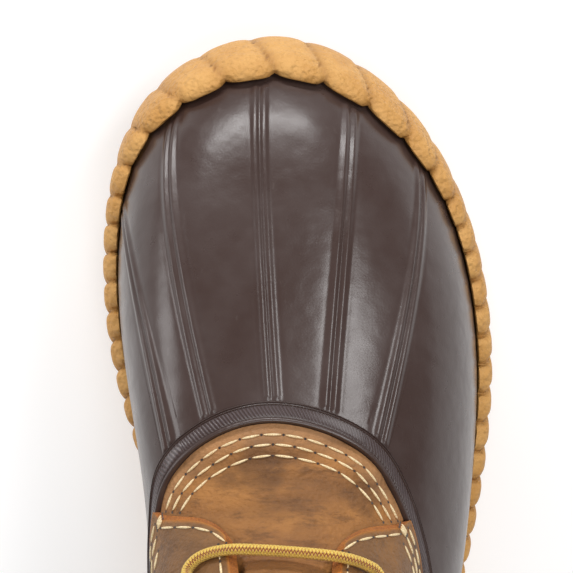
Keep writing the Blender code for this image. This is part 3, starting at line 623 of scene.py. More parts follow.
@dataclass(frozen=True)
class ShellRubber:
    """Dark brown moulded rubber with a soft gloss, slightly mottled, and a fine hatch on its rim band."""

    color: Color = (0.049, 0.027, 0.022)
    bloom: Color = (0.071, 0.048, 0.043)
    scuff: Color = (0.17, 0.14, 0.13)
    hatched: Color = (0.16, 0.13, 0.14)
    hatch_pitch: float = 0.00090
    hatch_turn: float = math.radians(28)

    def material(self) -> bpy.types.Material:
        """Builds the material."""
        recipe = Recipe("shell_rubber")
        place = recipe.coordinates(Space.OBJECT)
        cloud = recipe.ramp(recipe.noise(place, 0.03, 4.0, 0.6), 0.35, 0.75)
        color = recipe.blend(cloud, self.color, self.bloom)
        lightened = recipe.noise(recipe.coordinates(Space.OBJECT, (1, 0.35, 1)), 0.004, 5.0, 0.7)
        color = recipe.tint(color, recipe.ramp(lightened, 0.62, 0.78), 0.25, self.scuff)
        turned = {"Vector": recipe.coordinates(Space.UV), "Rotation": (0, 0, self.hatch_turn)}
        flat = recipe.add("ShaderNodeMapping", turned).outputs["Vector"]
        lines = recipe.bands(flat, self.hatch_pitch).outputs["Fac"]
        hatch = recipe.math("MULTIPLY", lines, recipe.mark("hatch"))
        color = recipe.tint(color, hatch, 0.45, self.hatched)
        grain = recipe.noise(place, 0.0007, 2.0)
        recipe.relief([(hatch, 0.00022), (recipe.noise(place, 0.012, 2.0), 0.0005), (grain, 0.00003)])
        rough = recipe.spread(recipe.noise(place, 0.008, 5.0, 0.65), 0.20, 0.20)
        coat = {"Coat_Weight": 0.26, "Coat_Roughness": 0.22}
        return recipe.shade(Base_Color=color, Roughness=rough, Specular_IOR_Level=0.36, **coat)


@dataclass(frozen=True)
class OiledLeather:
    """Pull-up leather: brown, darker where oil and dirt have gone in, lighter in a band where a mark says so,
    with painted shade in its creases and folds.
    """

    name: str = "oiled_leather"
    pale: Color = (0.385, 0.167, 0.044)
    middle: Color = (0.250, 0.102, 0.026)
    dark: Color = (0.085, 0.034, 0.010)
    worn: float = 1.0
    # Colour of a lighter band just above the rim.
    lightened: Color = (0.50, 0.260, 0.115)
    edge: Color = (0.44, 0.155, 0.020)

    def material(self) -> bpy.types.Material:
        """Builds the material."""
        recipe = Recipe(self.name)
        place = recipe.coordinates(Space.OBJECT)
        streaks = recipe.coordinates(Space.OBJECT, (0.45, 1.0, 0.8))
        broad = recipe.ramp(recipe.noise(streaks, 0.020, 6.0, 0.62), 0.38, 0.66)
        color = recipe.blend(broad, self.middle, self.pale)
        stain = recipe.ramp(recipe.noise(streaks, 0.011, 6.0, 0.68), 0.50, 0.68)
        color = recipe.tint(color, stain, 0.55 * self.worn, self.dark)
        smudge = recipe.ramp(recipe.noise(place, 0.026, 3.0, 0.6), 0.52, 0.70)
        color = recipe.tint(color, smudge, 0.60 * self.worn, self.dark)
        fleck = recipe.ramp(recipe.noise(place, 0.0022, 4.0, 0.7), 0.56, 0.72)
        color = recipe.tint(color, fleck, 0.40, self.pale)
        fibres = recipe.noise(recipe.coordinates(Space.OBJECT, (0.35, 1.4, 1.0)), 0.0055, 8.0, 0.75)
        color = recipe.tint(color, recipe.ramp(fibres, 0.50, 0.66), 0.55, self.dark)
        # Lighter in a band just above the shell's rim, where the mark is set.
        color = recipe.tint(color, recipe.mark("lightened"), 0.55, self.lightened)
        # Painted shade: darker in the creases and folds that the crease mark follows.
        color = recipe.blend(recipe.mark("crease"), color, self.dark)
        color = recipe.tint(color, recipe.mark("edge"), 0.80, self.edge)
        cells = recipe.cells(place, 0.0011)
        wrinkle = recipe.noise(streaks, 0.0035, 6.0, 0.7)
        recipe.relief([(wrinkle, 0.0009), (cells, 0.00030), (recipe.noise(place, 0.0005, 2.0), 0.00006)])
        rough = recipe.spread(broad, 0.16, 0.47)
        return recipe.shade(Base_Color=color, Roughness=rough, Specular_IOR_Level=0.32, Sheen_Weight=0.03)


@dataclass(frozen=True)
class Nap:
    """A fibrous surface: a raw cut edge, a suede back or a woven lining."""

    name: str
    light: Color
    shadow: Color
    fibre: float = 0.0006
    depth: float = 0.0004
    sheen: float = 0.25

    def material(self) -> bpy.types.Material:
        """Builds the material."""
        recipe = Recipe(self.name)
        place = recipe.coordinates(Space.OBJECT)
        fibre = recipe.noise(place, self.fibre, 5.0, 0.75)
        cloud = recipe.noise(place, 0.009, 4.0, 0.6)
        share = recipe.math("ADD", recipe.math("MULTIPLY", fibre, 0.6), recipe.math("MULTIPLY", cloud, 0.4))
        color = recipe.blend(recipe.ramp(share, 0.36, 0.64), self.shadow, self.light)
        recipe.relief([(fibre, self.depth)])
        return recipe.shade(Base_Color=color, Roughness=0.92, Sheen_Weight=self.sheen, Sheen_Roughness=0.6)


@dataclass(frozen=True)
class Knit:
    """A ribbed knit or woven cloth, laid out on the piece's own flat layout."""

    name: str
    light: Color
    shadow: Color
    pitch: float = 0.0012

    def material(self) -> bpy.types.Material:
        """Builds the material."""
        recipe = Recipe(self.name)
        flat = recipe.coordinates(Space.UV)
        waves = [recipe.bands(flat, self.pitch, Distortion=1.2, Detail=1.0) for _ in range(2)]
        waves[1].bands_direction = "Y"
        weave = recipe.math("MULTIPLY", *(wave.outputs["Fac"] for wave in waves))
        cloud = recipe.noise(recipe.coordinates(Space.OBJECT), 0.01, 4.0, 0.6)
        lit = recipe.math("MULTIPLY", weave, recipe.ramp(cloud, 0.1, 0.8))
        color = recipe.blend(lit, self.shadow, self.light)
        recipe.relief([(weave, 0.0004)])
        return recipe.shade(Base_Color=color, Roughness=0.9, Sheen_Weight=0.3)


@dataclass(frozen=True)
class AntiqueBrass:
    """Brass that has browned with age, brighter where it is rubbed."""

    bright: Color = (0.50, 0.33, 0.14)
    brown: Color = (0.12, 0.065, 0.03)

    def material(self) -> bpy.types.Material:
        """Builds the material."""
        recipe = Recipe("antique_brass")
        place = recipe.coordinates(Space.OBJECT)
        patina = recipe.ramp(recipe.noise(place, 0.0022, 5.0, 0.65), 0.35, 0.65)
        color = recipe.blend(patina, self.bright, self.brown)
        recipe.relief([(recipe.noise(place, 0.0006, 3.0), 0.00005)])
        rough = recipe.spread(patina, 0.25, 0.28)
        return recipe.shade(Base_Color=color, Roughness=rough, Metallic=1.0)


@dataclass(frozen=True)
class BraidedLace:
    """Round braided lace: golden yarn with a zigzag of red-brown yarn along it."""

    gold: Color = (0.76, 0.44, 0.060)
    # Paler gold for the painted highlight on the strands' crowns.
    pale: Color = (0.95, 0.68, 0.16)
    red: Color = (0.30, 0.060, 0.018)
    soil: Color = (0.28, 0.15, 0.04)
    pitch: float = 0.00095

    def material(self) -> bpy.types.Material:
        """Builds the material."""
        recipe = Recipe("braided_lace")
        split = recipe.add("ShaderNodeSeparateXYZ", {"Vector": recipe.coordinates(Space.UV)})
        along = recipe.math("DIVIDE", split.outputs["X"], self.pitch)
        turn = split.outputs["Y"]
        saw = recipe.math("ABSOLUTE", recipe.math("SUBTRACT", recipe.math("FRACT", along), 0.5))
        centre = recipe.math("MULTIPLY", recipe.math("SUBTRACT", saw, 0.25), 0.21)
        off = recipe.math("ABSOLUTE", recipe.math("SUBTRACT", recipe.math("SUBTRACT", turn, 0.5), centre))
        zigzag = recipe.math("SUBTRACT", 1.0, recipe.ramp(off, 0.026, 0.046))
        strands = []
        for sign in (1.0, -1.0):
            slope = recipe.math("MULTIPLY", turn, 5.0 * sign)
            phase = recipe.math("FRACT", recipe.math("ADD", along, slope))
            away = recipe.math("ABSOLUTE", recipe.math("SUBTRACT", phase, 0.5))
            strands.append(recipe.math("SUBTRACT", 1.0, recipe.math("MULTIPLY", away, 2.0)))
        weave = recipe.math("MAXIMUM", *strands)
        # Painted highlight: the strands' crowns are paler than the yarn between them.
        color = recipe.blend(recipe.ramp(weave, 0.45, 1.0), self.gold, self.pale)
        color = recipe.blend(zigzag, color, self.red)
        dirt = recipe.ramp(recipe.noise(recipe.coordinates(Space.OBJECT), 0.006, 4.0, 0.7), 0.5, 0.8)
        color = recipe.tint(color, dirt, 0.25, self.soil)
        recipe.relief([(weave, 0.00045)])
        return recipe.shade(Base_Color=color, Roughness=0.72, Sheen_Weight=0.08)


@dataclass(frozen=True)
class WaxedThread:
    """Thick cream thread with a twist."""

    color: Color = (0.92, 0.76, 0.48)
    shade: Color = (0.68, 0.48, 0.24)

    def material(self) -> bpy.types.Material:
        """Builds the material."""
        recipe = Recipe("waxed_thread")
        place = recipe.coordinates(Space.OBJECT)
        twist = recipe.noise(place, 0.0004, 2.0)
        color = recipe.blend(recipe.ramp(twist, 0.35, 0.6), self.shade, self.color)
        recipe.relief([(twist, 0.00012)])
        return recipe.shade(Base_Color=color, Roughness=0.55)


@dataclass
class Outsole:
    """The gum outsole: a tray with a lobed wall, broad slanted petals at the toe, and a chain tread."""

    last: Last
    wall: float = 0.0024
    lobe_depth: float = 0.0018
    lobe_pitch: float = 0.009
    toe_pitch: float = 0.0165
    lobe_crown: float = 0.0016
    toe_depth: float = 0.65
    tuck: float = 0.0008
    ease: float = 0.0003
    gap: float = 0.0003
    slant: float = 0.75
    scallop: float = 0.0016
    crown_inset: float = 0.0009
    lug_step: float = 0.0025
    lug_sink: float = 0.001
    lug_rounding: float = 0.0008
    columns_per_lobe: int = 20
    # Shares of the wall's height at which its section is given, and the two of them between foot and crown
    # as shares of the rise to its edge.
    knots: tuple[float, ...] = (0.0, 0.42, 0.85, 1.0)
    levels: tuple[float, float] = (0.4, 0.85)
    # The lip's rows: shares of the way from the shell out to the crown, and lift at the sides and the toe.
    lip_rows: tuple[tuple[float, float, float], ...] = (
        (0.72, 0.0006, 0.0010),
        (0.40, 0.0010, 0.0019),
        (0.15, 0.0011, 0.0022),
        (0.05, 0.0006, 0.0016),
    )
    lug_height: float = 0.004
    lug_width: float = 0.0055
    lug_pitch: float = 0.0130
    lug_wave: float = 0.0028
    lug_wave_length: float = 0.028
    margin: float = 0.004

    def phases(self) -> tuple[np.ndarray, np.ndarray]:
        """Staves and how many lobes have been passed there, from the heel round by the outer side."""
        steps = 1600
        middle = ROUND * (np.arange(steps) + 0.5) / steps
        pitch = mix(self.lobe_pitch, self.toe_pitch, smooth(1.9, 0.8, from_toe(middle)))
        staves = np.linspace(0, ROUND, steps + 1)
        length = np.linalg.norm(np.diff(self.last.outline(staves), axis=0), axis=-1)
        passed = np.concatenate(([0.0], np.cumsum(length / pitch)))
        lobes = 2 * round(passed[-1] / 2)
        return staves, passed * lobes / passed[-1]

    def crest(self, stave: np.ndarray, height: np.ndarray) -> np.ndarray:
        """How far a place stands out of the notches between the lobes, from 0 to 1.

        Args:
            stave: Stave numbers.
            height: How high up the wall, from 0 to 1.

        Returns:
            The crest's share.
        """
        staves, passed = self.phases()
        lobes = passed[-1]
        shift = self.slant * smooth(7.0, 3.0, from_toe(stave)) * (0.5 - height)
        t = np.mod(np.interp(stave % ROUND, staves, passed) - shift + lobes + 0.5, 1.0)
        skew = t ** mix(1.0, 0.72, smooth(3.0, 1.5, from_toe(stave)))
        return (1 - np.abs(2 * skew - 1) ** 3.2) ** 0.8

    def body(self) -> Sheet:
        """The tray, as one sheet that is rolled round the foot and closed under and over it."""
        last = self.last
        staves, passed = self.phases()
        count = int(round(passed[-1])) * self.columns_per_lobe
        stave = np.interp(np.linspace(0, passed[-1], count + 1), passed, staves)
        out, edge = last.outward(stave), last.edge_rise(stave)
        depth = self.lobe_depth * mix(1.0, self.toe_depth, smooth(3.0, 1.5, from_toe(stave)))
        thickness = self.gap + self.wall + self.lobe_depth
        foot = last.outline(stave) - out * self.tuck
        foot[..., 2] = last.ground(foot[..., 1]) + self.lug_height
        low = last.layer(stave, edge * self.levels[0], last.sole_ledge)
        high = last.layer(stave, edge * self.levels[1], thickness + self.gap)
        crown = last.layer(stave, edge, thickness - self.crown_inset)
        heights = np.linspace(0, 1, 13)
        knots = np.array(self.knots)
        chain = np.stack((foot, low, high, crown))
        rows, notch_shade = [], []
        for height in heights:
            k = min(2, int(np.searchsorted(knots, height, side="right")) - 1)
            t = (height - knots[k]) / (knots[k + 1] - knots[k])
            a, b, c, d = (chain[min(3, max(0, k + step))] for step in (-1, 0, 1, 2))
            square = (2 * a - 5 * b + 4 * c - d) * t**2
            point = (2 * b + (c - a) * t + square + (3 * b - a - 3 * c + d) * t**3) / 2
            crest = self.crest(stave, np.full_like(stave, height))
            point = point - out * (depth * (1 - crest))[..., None]
            point[..., 2] += self.lobe_crown * crest * smooth(0.55, 1.0, height)
            rows.append(point)
            # Painted shade: the mask darkens the notches between the lobes.
            notch_shade.append((1 - crest) ** 2 * 0.85)
        crest = self.crest(stave, np.ones_like(stave))
        scallop = self.scallop * mix(0.5, 1.0, smooth(4.0, 2.0, from_toe(stave))) * (1 - crest)
        lip = edge + (self.lobe_crown * crest - scallop) / last.climb_speed(stave, edge)
        crown = rows[-1]
        at_toe = smooth(4.0, 2.0, from_toe(stave))
        for share, side, toe in self.lip_rows:
            point = mix(last.layer(stave, lip, self.ease), crown, share)
            point[..., 2] += mix(side, toe, at_toe) * mix(0.45, 1.0, crest)
            rows.append(point)
            # Painted shade in the notches, deepest in the row that steps down to the shell.
            notch_shade.append((1 - crest) ** 2 * 0.6 + 0.5 * (share < 0.1))
        rows.append(last.layer(stave, lip * 0.8, self.ease))
        floor = last.layer(stave, np.zeros_like(stave), self.ease)
        floor[..., 2] = last.seat(floor[..., 1]) - self.gap
        rows.append(floor)
        # Painted shade inside the tray, under the shell.
        notch_shade += [np.full_like(stave, 0.5)] * 2
        root, top = (lambda y: last.ground(y) + self.lug_height), (lambda y: last.seat(y) - self.gap)
        below = [last.drawn_in(stave, rows[0], share, root) for share in (0.0, 0.35, 0.7, 0.93)]
        above = [last.drawn_in(stave, floor, share, top) for share in (0.8, 0.45, 0.0)]
        none = [np.zeros_like(stave)]
        return Sheet(np.stack(below + rows + above), {"notch_shade": np.stack(none * 4 + notch_shade + none * 3)})

    def across_at(self, along: float, side: Side) -> float:
        """How far across the outline is at a place along the foot."""
        stave = np.linspace(0, TOE, 400) if side is Side.OUTER else np.linspace(ROUND, TOE, 400)
        line = self.last.outline(stave)
        return float(np.interp(along, line[:, 1], line[:, 0]))

    def lay_lug(self, bm: bmesh.types.BMesh, k: int, middle: float) -> None:
        """Adds one wavy bar of the tread.

        Args:
            bm: The bmesh to add to.
            k: The bar's number, which sets the phase of its wave.
            middle: Where along the foot it is.
        """
        reach = self.lug_width / 2 + self.lug_wave
        ends = (middle - reach, middle + reach)
        inner = max(self.across_at(y, Side.INNER) for y in ends) + self.margin
        outer = min(self.across_at(y, Side.OUTER) for y in ends) - self.margin
        half = self.lug_wave_length / 2
        across = np.linspace(inner, outer, max(8, int((outer - inner) / self.lug_step)))
        sharp = np.abs((across / half + k) % 2 - 1) * 2 - 1
        wave = self.lug_wave * np.sin(sharp * np.pi / 2)
        made = bmesh.ops.create_grid(bm, x_segments=len(across) - 1, y_segments=1, size=0.5)["verts"]
        for vert in made:
            j = round((vert.co.x + 0.5) * (len(across) - 1))
            y = middle + wave[j] + (self.lug_width / 2 if vert.co.y > 0 else -self.lug_width / 2)
            vert.co = (across[j], y, float(self.last.ground(y)) + self.lug_height + self.lug_sink)
        faces = list(dict.fromkeys(face for vert in made for face in vert.link_faces))
        raised = bmesh.ops.extrude_face_region(bm, geom=faces)["geom"]
        tips = [item for item in raised if isinstance(item, bmesh.types.BMVert)]
        for vert in tips:
            vert.co.z = float(self.last.ground(vert.co.y))
        tip_set = set(tips)
        rim = dict.fromkeys(
            edge for vert in tips for edge in vert.link_edges if edge.other_vert(vert) in tip_set
        )
        corners = [edge for edge in rim if len(edge.link_faces) == 2 and edge.calc_face_angle(0) > 0.8]
        bmesh.ops.bevel(
            bm,
            geom=corners,
            offset=self.lug_rounding,
            segments=2,
            profile=0.5,
            affect="EDGES",
            material=-1,
        )

    def build(self, gum: bpy.types.Material) -> bpy.types.Object:
        """Builds the outsole.

        Args:
            gum: Its finish.

        Returns:
            The piece.
        """
        bm = bmesh.new()
        self.body().lay(bm)
        reach = self.lug_width / 2 + self.lug_wave + self.margin
        span = self.last.length - 2 * reach
        count = int(span / self.lug_pitch)
        for k in range(count + 1):
            self.lay_lug(bm, k, reach - self.last.length / 2 + span * k / count)
        # A fixed order, so that the weld is the same in every run.
        order = {vert: k for k, vert in enumerate(sorted(bm.verts, key=lambda vert: tuple(vert.co)))}
        bm.verts.sort(key=lambda vert: order[vert])
        return make_piece("gum_outsole", bm, [gum], ("outsole",), weld=COARSE_WELD)


@dataclass
class Shell:
    """The moulded rubber shell: ribbed toe, rim band with fine lines, and the flange behind the leather."""

    last: Last
    wall: float = 0.0028
    band_width: float = 0.0046
    band_height: float = 0.0010
    hatch_reach: float = 0.0062
    flange_length: float = 0.009
    flange_wall: float = 0.0014
    flange_sink: float = 0.0029
    # The staves that each rib runs through: at its root, at its bend and at its head.
    rib_paths: tuple[tuple[float, float, float], ...] = (
        (6.75, 6.63, 6.60),
        (7.42, 7.39, 7.40),
        (8.13, 8.13, 8.05),
        (8.84, 9.00, 8.90),
        (9.72, 9.72, 9.75),
    )
    rib_bend: float = 0.35
    ridge_height: float = 0.00050
    ridge_apart: float = 0.00135
    ridge_width: float = 0.00108
    groove_depth: float = 0.00016
    groove_width: float = 0.0006
    trough_depth: float = 0.00010
    trough_apart: float = 0.0029
    rib_reach: float = 0.0044
    head_gap: float = 0.0001
    # Distances from the rim as shares of the band, with shares of its height.
    band_profile: tuple[tuple[float, float], ...] = (
        (1.015, 0.0),
        (0.992, 0.35),
        (0.969, 0.85),
        (0.942, 0.95),
        (0.915, 0.55),
        (0.892, 0.5),
        (0.865, 0.9),
        (0.838, 0.95),
        (0.808, 0.66),
        (0.754, 0.62),
        (0.585, 0.68),
        (0.4, 0.68),
        (0.262, 0.62),
        (0.231, 0.52),
        (0.2, 0.7),
        (0.162, 0.95),
        (0.092, 1.02),
        (0.038, 0.95),
        (0.0, 0.62),
    )

    def columns(self) -> tuple[np.ndarray, np.ndarray]:
        """Staves of the columns at root, bend and head, and how far beside them each runs."""
        beside = np.linspace(-self.rib_reach, self.rib_reach, 35)
        paths = np.array(self.rib_paths)
        staves, distances = [], []
        for k, path in enumerate(paths):
            staves += [path] * len(beside)
            distances += list(beside)
            if k + 1 < len(paths):
                for part in np.linspace(0, 1, 9)[1:-1]:
                    staves.append(mix(path, paths[k + 1], part))
                    distances.append(self.rib_reach * (1 - 2 * part) * 0.9)
        first, last = paths[0] + ROUND, paths[-1]
        rest = np.linspace(last[0], first[0], 190)[3:-3]
        lean = np.outer(smooth(1.2, 0.0, rest - last[0]), last - last[0])
        lean += np.outer(smooth(1.2, 0.0, first[0] - rest), first - first[0])
        staves += [*(rest[:, None] + lean), first]
        return np.array(staves).T, np.concatenate((distances, np.zeros(len(rest)), [-self.rib_reach]))

    def bent(self, staves: np.ndarray, share: float) -> np.ndarray:
        """Staves of the columns at a share of the way from root to head, on a smooth bend."""
        bend = self.rib_bend
        root = (share - bend) * (share - 1) / bend
        middle = share * (share - 1) / (bend * (bend - 1))
        head = share * (share - bend) / (1 - bend)
        return staves[0] * root + staves[1] * middle + staves[2] * head

    def rib_height(self, distance: np.ndarray, share: np.ndarray) -> np.ndarray:
        """Height of the twin ridges, with the groove between them and a shallow trough on each side.

        Args:
            distance: How far beside the rib's middle.
            share: How far up the rib, from its root at the toe to its head.

        Returns:
            Heights in metres.
        """
        away = np.abs(distance)
        ridge = self.ridge_height * np.exp(-(((away - self.ridge_apart) / self.ridge_width) ** 2))
        groove = self.groove_depth * np.exp(-((away / self.groove_width) ** 2))
        trough = self.trough_depth * np.exp(-(((away - self.trough_apart) / self.ridge_width) ** 2))
        return (ridge - groove - trough) * smooth(0.01, 0.08, share) * smooth(1.0, 0.994, share)

    def sheet(self) -> Sheet:
        """The whole shell as one closed sheet, up its outside and down its inside."""
        last = self.last
        staves, distance = self.columns()
        root, top_stave = staves[0], staves[2]
        roots = [path[0] for path in self.rib_paths]
        on_rib = np.isin(root % ROUND, roots) & (np.abs(distance) <= self.rib_reach)
        edge, one = last.edge_rise(root), np.ones_like(root)
        at_rim = top_stave + distance / last.around_speed(top_stave, one)
        rim = 1 - last.rise_for(at_rim, self.band_width)
        head = rim - last.rise_for(top_stave, self.head_gap)
        rises = [np.zeros_like(root)] + [edge * share for share in (0.5, 0.9)]
        heights = [np.zeros_like(root)] * 3
        bases = [root] * 3
        fine = np.concatenate((np.linspace(0, 0.9, 52), np.linspace(0.9, 1.0, 18)[1:]))
        for share in fine:
            rises.append(mix(edge, head, share))
            heights.append(np.where(on_rib, self.rib_height(distance, np.full_like(root, share)), 0))
            bases.append(self.bent(staves, share))
        hatch = [np.zeros_like(root)] * len(rises)
        from_rim = [np.full_like(root, 0.02)] * len(rises)
        for back, high in self.band_profile:
            rises.append(1 - last.rise_for(at_rim, back * self.band_width))
            heights.append(one * self.band_height * high)
            bases.append(top_stave)
            hatch.append(one * float(smooth(0.24, 0.30, back) * smooth(0.80, 0.74, back)))
            from_rim.append(one * back * self.hatch_reach)
        top = 1 + last.rise_for(top_stave, self.flange_length)
        behind = -self.flange_sink - self.flange_wall
        inside = [(one, -self.flange_sink), (top, -self.flange_sink), (top, behind), (one, behind)]
        inside += [(one * level, -self.wall) for level in (0.86, 0.75, 0.6, 0.45, 0.3, 0.15, 0.0)]
        inside.append((one * 0.0, 0.0))
        outside = len(rises)
        for rise, height in inside:
            rises.append(rise)
            heights.append(one * height)
            bases.append(np.where(rise > 0.4, top_stave, root))
            hatch.append(one * 0)
            from_rim.append(one * 0)
        rise, height, base = np.stack(rises), np.stack(heights), np.stack(bases)
        up = unit(last.climb(base, rise))
        across = last.around(base, rise)
        speed = np.linalg.norm(across - up * dot(across, up), axis=-1)
        points = last.layer(base + distance / speed, rise, height)
        run = run_along(last.form(at_rim, one))
        flat = np.stack((np.broadcast_to(run, rise.shape), np.stack(from_rim)), axis=-1)
        coat = np.array([Coat.OUTSIDE if row < outside else Coat.INSIDE for row in range(len(rises) - 1)])
        return Sheet(points, {"hatch": np.stack(hatch)}, coat, flat)

    def build(self, rubber: bpy.types.Material, lining: bpy.types.Material) -> bpy.types.Object:
        """Builds the shell.

        Args:
            rubber: The finish outside.
            lining: The finish inside.

        Returns:
            The piece.
        """
        bm = bmesh.new()
        self.sheet().lay(bm)
        return make_piece("rubber_shell", bm, [rubber, lining], ("shell",), weld=COARSE_WELD)


@dataclass
class Footbed:
    """The padded insole."""

    last: Last
    wall: float = 0.0028
    clear: float = 0.0009
    thickness: float = 0.004

    def build(self, cloth: bpy.types.Material) -> bpy.types.Object:
        """Builds the footbed.

        Args:
            cloth: Its finish.

        Returns:
            The piece.
        """
        last = self.last
        stave = np.linspace(0, ROUND, 161)
        top = last.rise_where(
            stave, np.zeros_like(stave), 0.4, lambda p: p[..., 2] < last.seat(p[..., 1]) + self.thickness
        )
        spine = last.spine(stave)
        choices = [last.layer(stave, rise, -self.wall - self.clear) for rise in (np.zeros_like(stave), top)]
        reach = [np.linalg.norm((choice - spine)[:, :2], axis=-1) for choice in choices]
        edge = np.where((reach[0] < reach[1])[:, None], choices[0], choices[1])
        levels = [(0.0, 0.0), (0.5, 0.0), (0.97, 0.0), (1.0, 0.0006), (1.0, 0.0030), (0.985, 0.0039)]
        levels += [(share, 0.004) for share in (0.96, 0.9, 0.8, 0.6, 0.4, 0.2, 0.0)]
        rows = [last.drawn_in(stave, edge, share, lambda y, t=t: last.seat(y) + t) for share, t in levels]
        bm = bmesh.new()
        Sheet(np.stack(rows)).lay(bm)
        return make_piece("footbed_pad", bm, [cloth], ("insole",), weld=COARSE_WELD)


@dataclass
class Upper:
    """What the leather pieces share: where the throat, the wings and the collar line run."""

    last: Last
    leather: float = 0.0020
    lift: float = 0.0018
    sink: float = 0.0003
    gap: float = 0.0003
    throat_half: float = 0.72
    wing_outer: float = 0.0120
    wing_inner: float = 0.0146
    wing_round: float = 0.0118
    collar_band: float = 0.024
    eyelet_pairs: int = 6
    inset_outer: float = 0.0172
    inset_inner: float = 0.0145
    inset_high: float = 0.0100
    first_along: float = -0.006
    last_gap: float = 0.010
    # Height, slope, depth and width of each fold over the ankle.
    folds: tuple[tuple[float, float, float, float], ...] = (
        (0.122, 0.30, 0.0010, 0.0040),
        (0.136, 0.22, 0.0007, 0.0035),
        (0.150, 0.12, 0.0008, 0.0040),
    )

    def face(self, stave: np.ndarray) -> np.ndarray:
        """How far the quarters' outer face lies off the form."""
        return mix(-self.sink, self.lift, smooth(4.2, 3.0, from_toe(stave)))

    def surface(self, stave: np.ndarray, rise: np.ndarray) -> np.ndarray:
        """How far the quarters' outer face with its swells and folds lies off the form."""
        form = self.last.form(stave, rise)
        swell = ripple(form, 0.035, 11) * 0.0006
        return self.face(stave) + np.where(swell > 0, swell, swell * 0.5) - self.ankle_folds(form, stave)

    def ankle_folds(self, points: np.ndarray, stave: np.ndarray) -> np.ndarray:
        """Depth of the soft folds where the shaft bends over the instep and behind the ankle."""
        depth = np.zeros(points.shape[:-1])
        y, z = points[..., 1], points[..., 2]
        wander = ripple(points, 0.04, 21) * 0.002
        for height, slope, deep, width in self.folds:
            away = (z - height - slope * (y + 0.06) + wander) / width
            depth += deep * np.exp(-(away**2))
        return depth * smooth(2.2, 3.2, from_toe(stave)) * smooth(6.6, 5.4, from_toe(stave))

    def collar_rise(self, stave: np.ndarray) -> np.ndarray:
        """The rise at which the quarters end and the collar begins."""
        stave = np.asarray(stave, float)
        return 2 - self.collar_band / self.last.climb_speed(stave, 1.95)

    def wing_rise(self, stave: np.ndarray) -> np.ndarray:
        """The lower edge of a quarter: along the rim, then round the wing that crosses the tongue."""
        stave = np.asarray(stave, float)
        low = 1 + self.last.rise_for(stave, self.gap)
        speed = self.last.around_speed(stave, 1.2)
        inside = (from_toe(stave) - self.throat_half) * speed
        short = np.maximum(0.0, self.wing_round - inside)
        drop = self.wing_round - np.sqrt(np.maximum(0.0, self.wing_round**2 - short**2))
        front = np.where(stave % ROUND < TOE, self.wing_outer, self.wing_inner)
        return self.last.rise_where(stave, low, 1.7, lambda point: point[..., 1] > front - drop)

    def eyelet_rises(self) -> np.ndarray:
        """Rises of the eyelets, evenly spaced up the middle of the tongue."""
        last = self.last
        first = float(last.rise_where(TOE + 1.4, 1.0, 1.6, lambda p: p[..., 1] > self.first_along))
        end = float(self.collar_rise(np.array(TOE)))
        end -= self.last_gap / float(last.climb_speed(TOE, 1.8))
        rises = np.linspace(first, end, 41)
        lengths = run_along(last.form(TOE, rises))
        return np.interp(np.linspace(0, lengths[-1], self.eyelet_pairs), lengths, rises)

    def beside_throat(self, rise: float, side: Side, distance: float) -> float:
        """The stave at a distance from a throat edge, out on the quarter, or in the gap where negative."""
        edge = TOE + side * self.throat_half
        return edge + side * distance / float(self.last.around_speed(edge, rise))

    def eyelet_place(self, k: int, side: Side) -> tuple[float, float]:
        """The stave and rise of an eyelet."""
        rise = float(self.eyelet_rises()[k])
        lowest = self.inset_outer if side is Side.OUTER else self.inset_inner
        inset = mix(lowest, self.inset_high, k / (self.eyelet_pairs - 1))
        return self.beside_throat(rise, side, inset), rise

    def standing(self, stave: float, rise: float, offset: float, reach: float) -> Matrix:
        """A frame whose Z axis points out of the form and whose origin clears a hollow there.

        Args:
            stave: The stave.
            rise: The rise.
            offset: Distance outside the form.
            reach: How far round the place the form has to be cleared.

        Returns:
            The frame as a matrix.
        """
        last, s, r = self.last, np.array(stave), np.array(rise)
        up = last.normal(s, r)
        side = last.around(s, r)
        side = unit(side - up * dot(side, up))
        steps = ((reach / last.around_speed(s, r), 0.0), (0.0, reach / last.climb_speed(s, r)))
        middle = last.layer(s, r, offset)
        near = [last.layer(s + a * k, r + b * k, offset) - middle for a, b in steps for k in (-1, 1)]
        middle = middle + up * max(0.0, *(float(up @ step) for step in near))
        matrix = Matrix((side, np.cross(up, side), up)).transposed().to_4x4()
        matrix.translation = Vector(middle)
        return matrix


